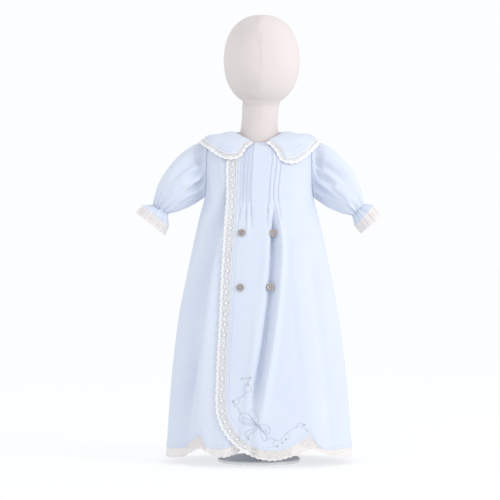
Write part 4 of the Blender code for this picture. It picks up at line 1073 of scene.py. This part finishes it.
def sew(name, runs, length=1.5, gap=0.7, radius=0.16, slant=0.0, material="blue_sewing"):
    """One piece of stitches along runs of (points, normals)."""
    parts = []
    for points, normals in runs:
        place, ahead, up = along_run(points, normals, length + gap)
        ahead = unit(ahead + np.cross(up, ahead) * slant)
        parts.append(stitch_mesh(place + up * radius * 0.6, ahead, up, length, radius))
    verts, faces = merged(parts)
    add_piece(name, verts, faces, material, "blue_batiste")
    print(name, "stitches:", len(verts) // 10)


# %% Sew the gown
STITCH_INSETS, STITCH_LIFT = (1.0, 5.6), 0.2
tuck_levels = np.linspace(TUCK_END_LEVELS[0] + 0.15, NECK - 0.1, 150)
runs = []
for edge_angle in TUCK_EDGES:
    angle = np.full(150, edge_angle + math.copysign(TUCK_STEP + 1.1, edge_angle))
    runs.append(laid(over_shift(angle, tuck_levels), tuck_levels, OVER, tuck_rise(angle, tuck_levels)))
sew("tuck_stitches", runs)

runs = []
for step in [-inset / LACE_WIDTH for inset in STITCH_INSETS]:
    runs.append(laid(between(lace_angle, outer_angle, step), between(lace_level, outer_level, step), OVER,
                     STITCH_LIFT))
for places, cloth, shift, sink in HEMS.values():
    for inset in STITCH_INSETS:
        level = level_at(cloth_hem(places) + inset)
        moved = shift(places, level)
        runs.append(laid(moved, level, cloth, STITCH_LIFT - sink(moved, level)))
sew("hem_stitches", runs)

levels = np.linspace(0.7, 5.9, 240)
seams = ((90.0, OVER, over_shift, -1.1), (-90.0, UNDER, under_shift, 1.1), (90.0, BACK, back_shift, 1.1),
         (270.0, BACK, back_shift, -1.1))
sew("side_seam_stitches", [laid(shift(np.full(240, angle), levels) + offset, levels, cloth)
                           for angle, cloth, shift, offset in seams], 1.3, 0.9, 0.12)

ring = slice(12, len(COLLAR_ROWS) - 12)
runs = [(collar_points[row, ring] + collar_normals[row, ring] * 0.03, collar_normals[row, ring]) for row in (-2, -5)]
runs += [(collar_points[2:-2, column], collar_normals[2:-2, column]) for column in (2, -3)]
sew("collar_stitches", runs)

runs = []
for grid in sleeve_grids.values():
    normals = grid_normals(grid, True)
    for place in (0.12, 7.55, 7.95, 8.35, 9.8):
        row = 2 + int(np.argmin(np.abs(SLEEVE_PLACES - place)))
        runs.append([joined(table)[row] for table in (grid, normals)])
sew("sleeve_stitches", runs, 1.2, 0.6, 0.14)

# %% [markdown]
# ## Embroidery
# A tilted bow with two trailing garlands is worked low on the wrapped front, in grey-blue stem stitch, with small
# sand-coloured buds. Stem stitch is a rope of short slanting stitches, so the same stitch helper makes it: it only
# needs the drawn line, which is laid on the cloth by looking up where a place seen from the front lies.

# %% Draw and work the embroidery
# Each line: places (x, z) on the wrapped front, in millimetres
BOW_LINES = [
    [(-3, 67), (-10, 75), (-19, 84), (-29, 83), (-31, 74), (-22, 68), (-12, 66), (-3, 67)],
    [(-3, 67), (-1, 77), (-6, 87), (-13, 90), (-15, 82), (-10, 73), (-3, 67)],
    [(-3, 67), (-12, 72), (-21, 77), (-26, 78), (-25, 73), (-15, 69), (-3, 67)],
    [(-3, 67), (7, 68), (15, 64), (17, 57), (12, 52), (5, 57), (-3, 67)],
    [(-3, 67), (2, 58), (3, 49), (8, 42), (12, 45), (9, 53), (3, 61), (-3, 67)],
    [(-3, 67), (5, 63), (11, 59), (11, 55), (5, 59), (-3, 67)],
    [(-4, 66), (-9, 60), (-17, 58), (-21, 53), (-18, 48)], [(-18, 48), (-14, 53), (-8, 56), (-3, 62), (-3, 67)],
]
GARLAND_LINES = [
    [(-29, 82), (-31, 90), (-37, 95), (-40, 101), (-35, 107), (-27, 110), (-21, 117), (-23, 125), (-18, 132),
     (-15, 138)],
    [(12, 45), (18, 47), (24, 44), (31, 42), (37, 48), (43, 55), (50, 60), (57, 63), (65, 64), (72, 60),
     (76, 54.5)],
]
TENDRIL_LINES = [
    [(-40, 101), (-35, 98), (-31, 101), (-32, 106)], [(-21, 117), (-14, 118), (-12, 123), (-15, 127)],
    [(24, 44), (21, 38), (24, 34), (29, 36)], [(57, 62), (60, 68), (66, 69), (69, 65)],
    [(43, 55), (48, 51), (46, 46), (41, 46)], [(-15, 137), (-20, 139), (-26, 137)],
]
BUDS = [(-14, 140), (-27, 138), (-41, 103), (-17, 46), (28, 34), (70, 66), (41, 44), (-17, 129), (36, 39)]
BUD_SIZE, BUD_STITCHES, BUD_SPACING, BUD_HALF_WIDTH, BUD_THREAD = 1.7, 5, 0.55, 1.7, 0.3


def curve_through(points, steps=14):
    """A smooth line through points."""
    return rows_at(np.asarray(points, float), np.linspace(0, len(points) - 1, (len(points) - 1) * steps + 1))


def on_front(line, lift=0.05):
    """Points and directions of the wrapped front's cloth where it is seen at (x, z)."""
    angles = np.linspace(-36, 60, 400)
    levels = [float(level_at(z)) for _, z in line]
    found = [np.interp(x, surface(angles, level, OVER)[:, 0], angles) for (x, _), level in zip(line, levels)]
    return laid(np.array(found), np.array(levels), OVER, lift)


def bud(x, z):
    """Lines of satin stitch that fill a small pointed bud."""
    tilt = math.radians((x * 37 + z * 53) % 180)
    s, c = math.sin(tilt), math.cos(tilt)
    lines = []
    for k in range(BUD_STITCHES):
        across = (k - (BUD_STITCHES - 1) / 2) * BUD_SPACING
        half = BUD_SIZE * math.sqrt(max(1 - (across / BUD_HALF_WIDTH) ** 2, 0.1))
        lines.append([(along * c - across * s + x, along * s + across * c + z) for along in (-half, half)])
    return lines


def long_stitches(name, lines, material, radius):
    """One long stitch for each short straight line."""
    parts = []
    for line in lines:
        points, normals = on_front(line, 0.15)
        span, up = points[1:] - points[:1], normals.mean(axis=0)[None]
        parts.append(stitch_mesh(points.mean(axis=0)[None], unit(span), up, np.linalg.norm(span), radius))
    add_piece(name, *merged(parts), material, "blue_batiste")


for name, lines, sizes in (("embroidered_bow", BOW_LINES + GARLAND_LINES, (2.0, -1.0, 0.24, 0.14)),
                           ("embroidered_tendrils", TENDRIL_LINES, (1.6, -0.7, 0.19, 0.14))):
    sew(name, [on_front(curve_through(line)) for line in lines], *sizes, "grey_blue_silk")
long_stitches("embroidered_buds", [line for x, z in BUDS for line in bud(x, z)], "sand_silk", BUD_THREAD)
print("buds:", len(BUDS))

# %% [markdown]
# ## Buttons
# Each is turned from shell with a dished face, a rounded rim and four holes, and is sewn on with a cross of thread.
# Its place and tilt are read from the solid that it replaces.

# %% Buttons and their thread
BUTTON_PROFILE = [(0, 1.35), (2.6, 1.4), (3.6, 1.5), (4.2, 1.8), (4.7, 2.15), (5.2, 2.2), (5.65, 1.95), (5.9, 1.4),
                  (5.8, 0.7), (5.4, 0.1), (5.0, 0), (0, 0)]
HOLE_OFFSET, HOLE_RADIUS, BUTTON_SIDES = 1.4, 0.75, 56


def button_frame(node):
    """Middle of a button's underside, and its turn, from the solid that it replaces."""
    points = np.array([vertex.co for vertex in node.data.vertices]) / MM
    middle = points.mean(axis=0)
    axis = np.linalg.svd(points - middle)[2][2]
    axis = axis if axis[1] < 0 else -axis
    heights = (points - middle) @ axis
    across = unit(np.cross((0, 0, 1), axis))
    underside = (points - np.outer(heights, axis)).mean(axis=0) + axis * heights.min()
    return underside, np.stack([across, np.cross(axis, across), axis])


def bmesh_object(name, bm):
    """An object from a finished bmesh."""
    mesh = bpy.data.meshes.new(name)
    bm.to_mesh(mesh)
    bm.free()
    return add_object(name, mesh)


def turned_button():
    """A turned button."""
    bm = bmesh.new()
    verts = [bm.verts.new((r, 0, z)) for r, z in BUTTON_PROFILE]
    edges = [bm.edges.new(pair) for pair in zip(verts, verts[1:])]
    bmesh.ops.spin(bm, geom=verts + edges, cent=(0, 0, 0), axis=(0, 0, 1), angle=math.tau, steps=BUTTON_SIDES)
    bmesh.ops.remove_doubles(bm, verts=bm.verts, dist=0.01)
    bmesh.ops.recalc_face_normals(bm, faces=bm.faces)
    return bmesh_object("disc", bm)


def drill(disc, x, y):
    """Cuts one thread hole."""
    bm = bmesh.new()
    bmesh.ops.create_cone(bm, cap_ends=True, segments=16, radius1=HOLE_RADIUS, radius2=HOLE_RADIUS, depth=12)
    bmesh.ops.translate(bm, vec=(x, y, 0), verts=bm.verts)
    drill_bit = bmesh_object("hole", bm)
    cut = disc.modifiers.new("hole", "BOOLEAN")
    cut.object, cut.operation, cut.solver = drill_bit, "DIFFERENCE", "EXACT"
    cut_mesh = bpy.data.meshes.new_from_object(disc.evaluated_get(bpy.context.evaluated_depsgraph_get()))
    disc.modifiers.clear()
    disc.data = cut_mesh
    bpy.data.objects.remove(drill_bit)


def thread_cross():
    """Lines of the doubled thread that crosses between the holes, in the button's own frame."""
    share = np.linspace(-1, 1, 13)[:, None]
    height = 1.62 - 2.2 * np.clip(np.abs(share) - 0.86, 0, 1) * 5
    return [np.concatenate([share * (HOLE_OFFSET, way * HOLE_OFFSET) + shift * way * np.array([1, -1]), height], 1)
            for way in (1, -1) for shift in (-0.2, 0.2)]


disc = turned_button()
for x in (-1, 1):
    for y in (-1, 1):
        drill(disc, x * HOLE_OFFSET, y * HOLE_OFFSET)
button_points = np.array([vertex.co for vertex in disc.data.vertices])
button_faces = [tuple(face.vertices) for face in disc.data.polygons]
bpy.data.objects.remove(disc)
for name in [f"button_{row}_{side_name}" for row in ("upper", "lower") for side_name in SIDES]:
    middle, turn = button_frame(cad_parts[name])
    piece = add_piece(name + "_shell", button_points @ turn + middle, button_faces, "button_shell", "shell_button",
                      replaced=(name,))
    piece.data.set_sharp_from_angle(angle=math.radians(35))
    sew(name + "_thread", [(line @ turn + middle, np.broadcast_to(turn[2], (13, 3))) for line in thread_cross()],
        0.9, -0.5, 0.22, 0.1)

# %% [markdown]
# ## Dress form and stand
# The form has no limbs. Its body, neck and egg-shaped head are one smooth padded shape under stretched jersey. The
# same sections as the solid's are used with many more points round them. The pole and base are hidden by the skirt
# and keep their solids under enamel.

# %% Form
# Each row: z, half width, front, back, squareness, middle x, middle y
TORSO = [(322, 46, 34, 32, 2.1, 0, 0), (325, 54, 41, 38, 2.1, 0, 0), (340, 60, 46, 43, 2.1, 0, 0),
         (380, 63, 49, 45, 2.2, 0, 0), (424, 66, 48, 46, 2.3, 0, 0), (462, 71, 46, 46, 2.4, 0, 0)]
NECK_RINGS = [(529, 30.5, 25, 25, 2.0, 0.5, 1), (550, 29, 27, 27, 2.0, 1.5, 2), (567, 29.5, 30, 28, 2.0, 2.5, 2)]
SHOULDER_LEVELS = (8.3, 8.9, 9.2, 9.8, 10.4)
HEAD_CENTRE, HEAD_HALF, HEAD_POWER = (4.3, -6.0, 640.6), (60.5, 65.0, 72.0), 2.25
FORM_DEPTH, FORM_FRONT_INSET, FORM_NECK_INSET, FORM_SIDES, BODY_RINGS = 2.2, 3.8, 1.6, 90, 90
form_angles = np.linspace(0, 360, FORM_SIDES, endpoint=False)


def form_ring(z, half_width, front, back, power, middle_x, middle_y):
    """Points of one level section of the form."""
    radius, s, c = oval(form_angles, half_width, front, back, power)
    return np.stack([middle_x + radius * s, middle_y - radius * c, np.full(FORM_SIDES, float(z))], -1)


def shoulder_ring(level, inset=0.0):
    """Points of the form just under the gown's shoulders."""
    inner = soft_step((np.cos(np.radians(form_angles)) - 0.1) / 0.5)
    return laid(form_angles, level, lift=-(FORM_DEPTH + FORM_FRONT_INSET * inner + inset))[0]


def head_ring(tilt):
    """Points of one section of the egg-shaped head."""
    s, c = math.sin(math.radians(tilt)), math.cos(math.radians(tilt))
    size = (abs(s) ** HEAD_POWER + abs(c) ** HEAD_POWER) ** (-1 / HEAD_POWER)
    wide, deep, tall = HEAD_HALF
    x, y, z = HEAD_CENTRE
    return form_ring(z + tall * size * s, wide * size * c, deep * size * c, deep * size * c, 2.1, x, y)


rings = [form_ring(*row) for row in TORSO] + [shoulder_ring(level) for level in SHOULDER_LEVELS]
rings = np.stack(rings + [shoulder_ring(NECK, FORM_NECK_INSET)] + [form_ring(*row) for row in NECK_RINGS])
lower = rows_at(rings.reshape(len(rings), -1), np.linspace(0, len(rings) - 1, BODY_RINGS))
points = np.concatenate([lower.reshape(BODY_RINGS, -1, 3), [head_ring(tilt) for tilt in np.linspace(-61, 88, 60)]])
index = np.arange(len(points) * FORM_SIDES).reshape(len(points), FORM_SIDES)
faces = grid_faces(joined(index)).tolist()
faces += [index[0][::-1].tolist(), index[-1].tolist()]
add_piece("form_jersey_cover", points.reshape(-1, 3), faces, "form_jersey", "form_jersey",
          grid_uv(points).reshape(-1, 2), ("form_body",))
print("form points:", index.size)
for name in ("form_pole", "form_base"):
    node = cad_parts[name]
    node.data.materials.clear()
    node.data.materials.append(materials["stand_enamel_paint"])

# %% [markdown]
# ## The cut of each sheet
# Every piece of cloth is listed with the size that it was cut to, and the area of its faces is printed beside it. The
# panels hang from the form's shoulders, the sleeves and the lace are gathered, and the collar lies on the panels.

LACE_SHARE = 0.80
CUTS = [
    ("front_over_cloth", (0.270, 0.500), 0.1000, "hung", ["form_jersey_cover", "front_under_cloth"]),
    ("front_under_cloth", (0.265, 0.500), 0.0960, "hung", ["form_jersey_cover"]),
    ("back_cloth", (0.420, 0.515), 0.1545, "hung", ["form_jersey_cover"]),
    ("sleeve_cloth_left", (0.235, 0.135), 0.0262, "gathered", ["front_under_cloth", "back_cloth"]),
    ("sleeve_cloth_right", (0.235, 0.135), 0.0262, "gathered", ["front_over_cloth", "back_cloth"]),
    ("collar_cloth", (0.250, 0.160), 0.0153, "laid", ["front_over_cloth", "front_under_cloth", "back_cloth"]),
    ("front_lace", (0.800, 0.0155), None, "hung", ["front_over_cloth", "front_under_cloth"]),
    ("under_hem_lace", (0.300, 0.0155), None, "gathered", ["front_under_cloth"]),
    ("back_hem_lace", (0.480, 0.0155), None, "gathered", ["back_cloth"]),
    ("collar_edge_lace", (0.560, 0.0108), None, "gathered", ["collar_cloth"]),
    ("cuff_edge_lace_left", (0.280, 0.0108), None, "gathered", ["sleeve_cloth_left"]),
    ("cuff_edge_lace_right", (0.260, 0.0108), None, "gathered", ["sleeve_cloth_right"]),
]
SEWN_ON = {"front_over_cloth": ["tuck_stitches", "embroidered_bow", "embroidered_tendrils", "embroidered_buds"]}
for name, size, area, held, carriers in CUTS:
    area = area or round(size[0] * size[1] * LACE_SHARE, 5)
    piece = bpy.data.objects[name]
    sewn = [bpy.data.objects[other] for other in SEWN_ON.get(name, [])]
    print(name, "faces:", round(sum(face.area for face in piece.data.polygons), 5), "cut:", area)
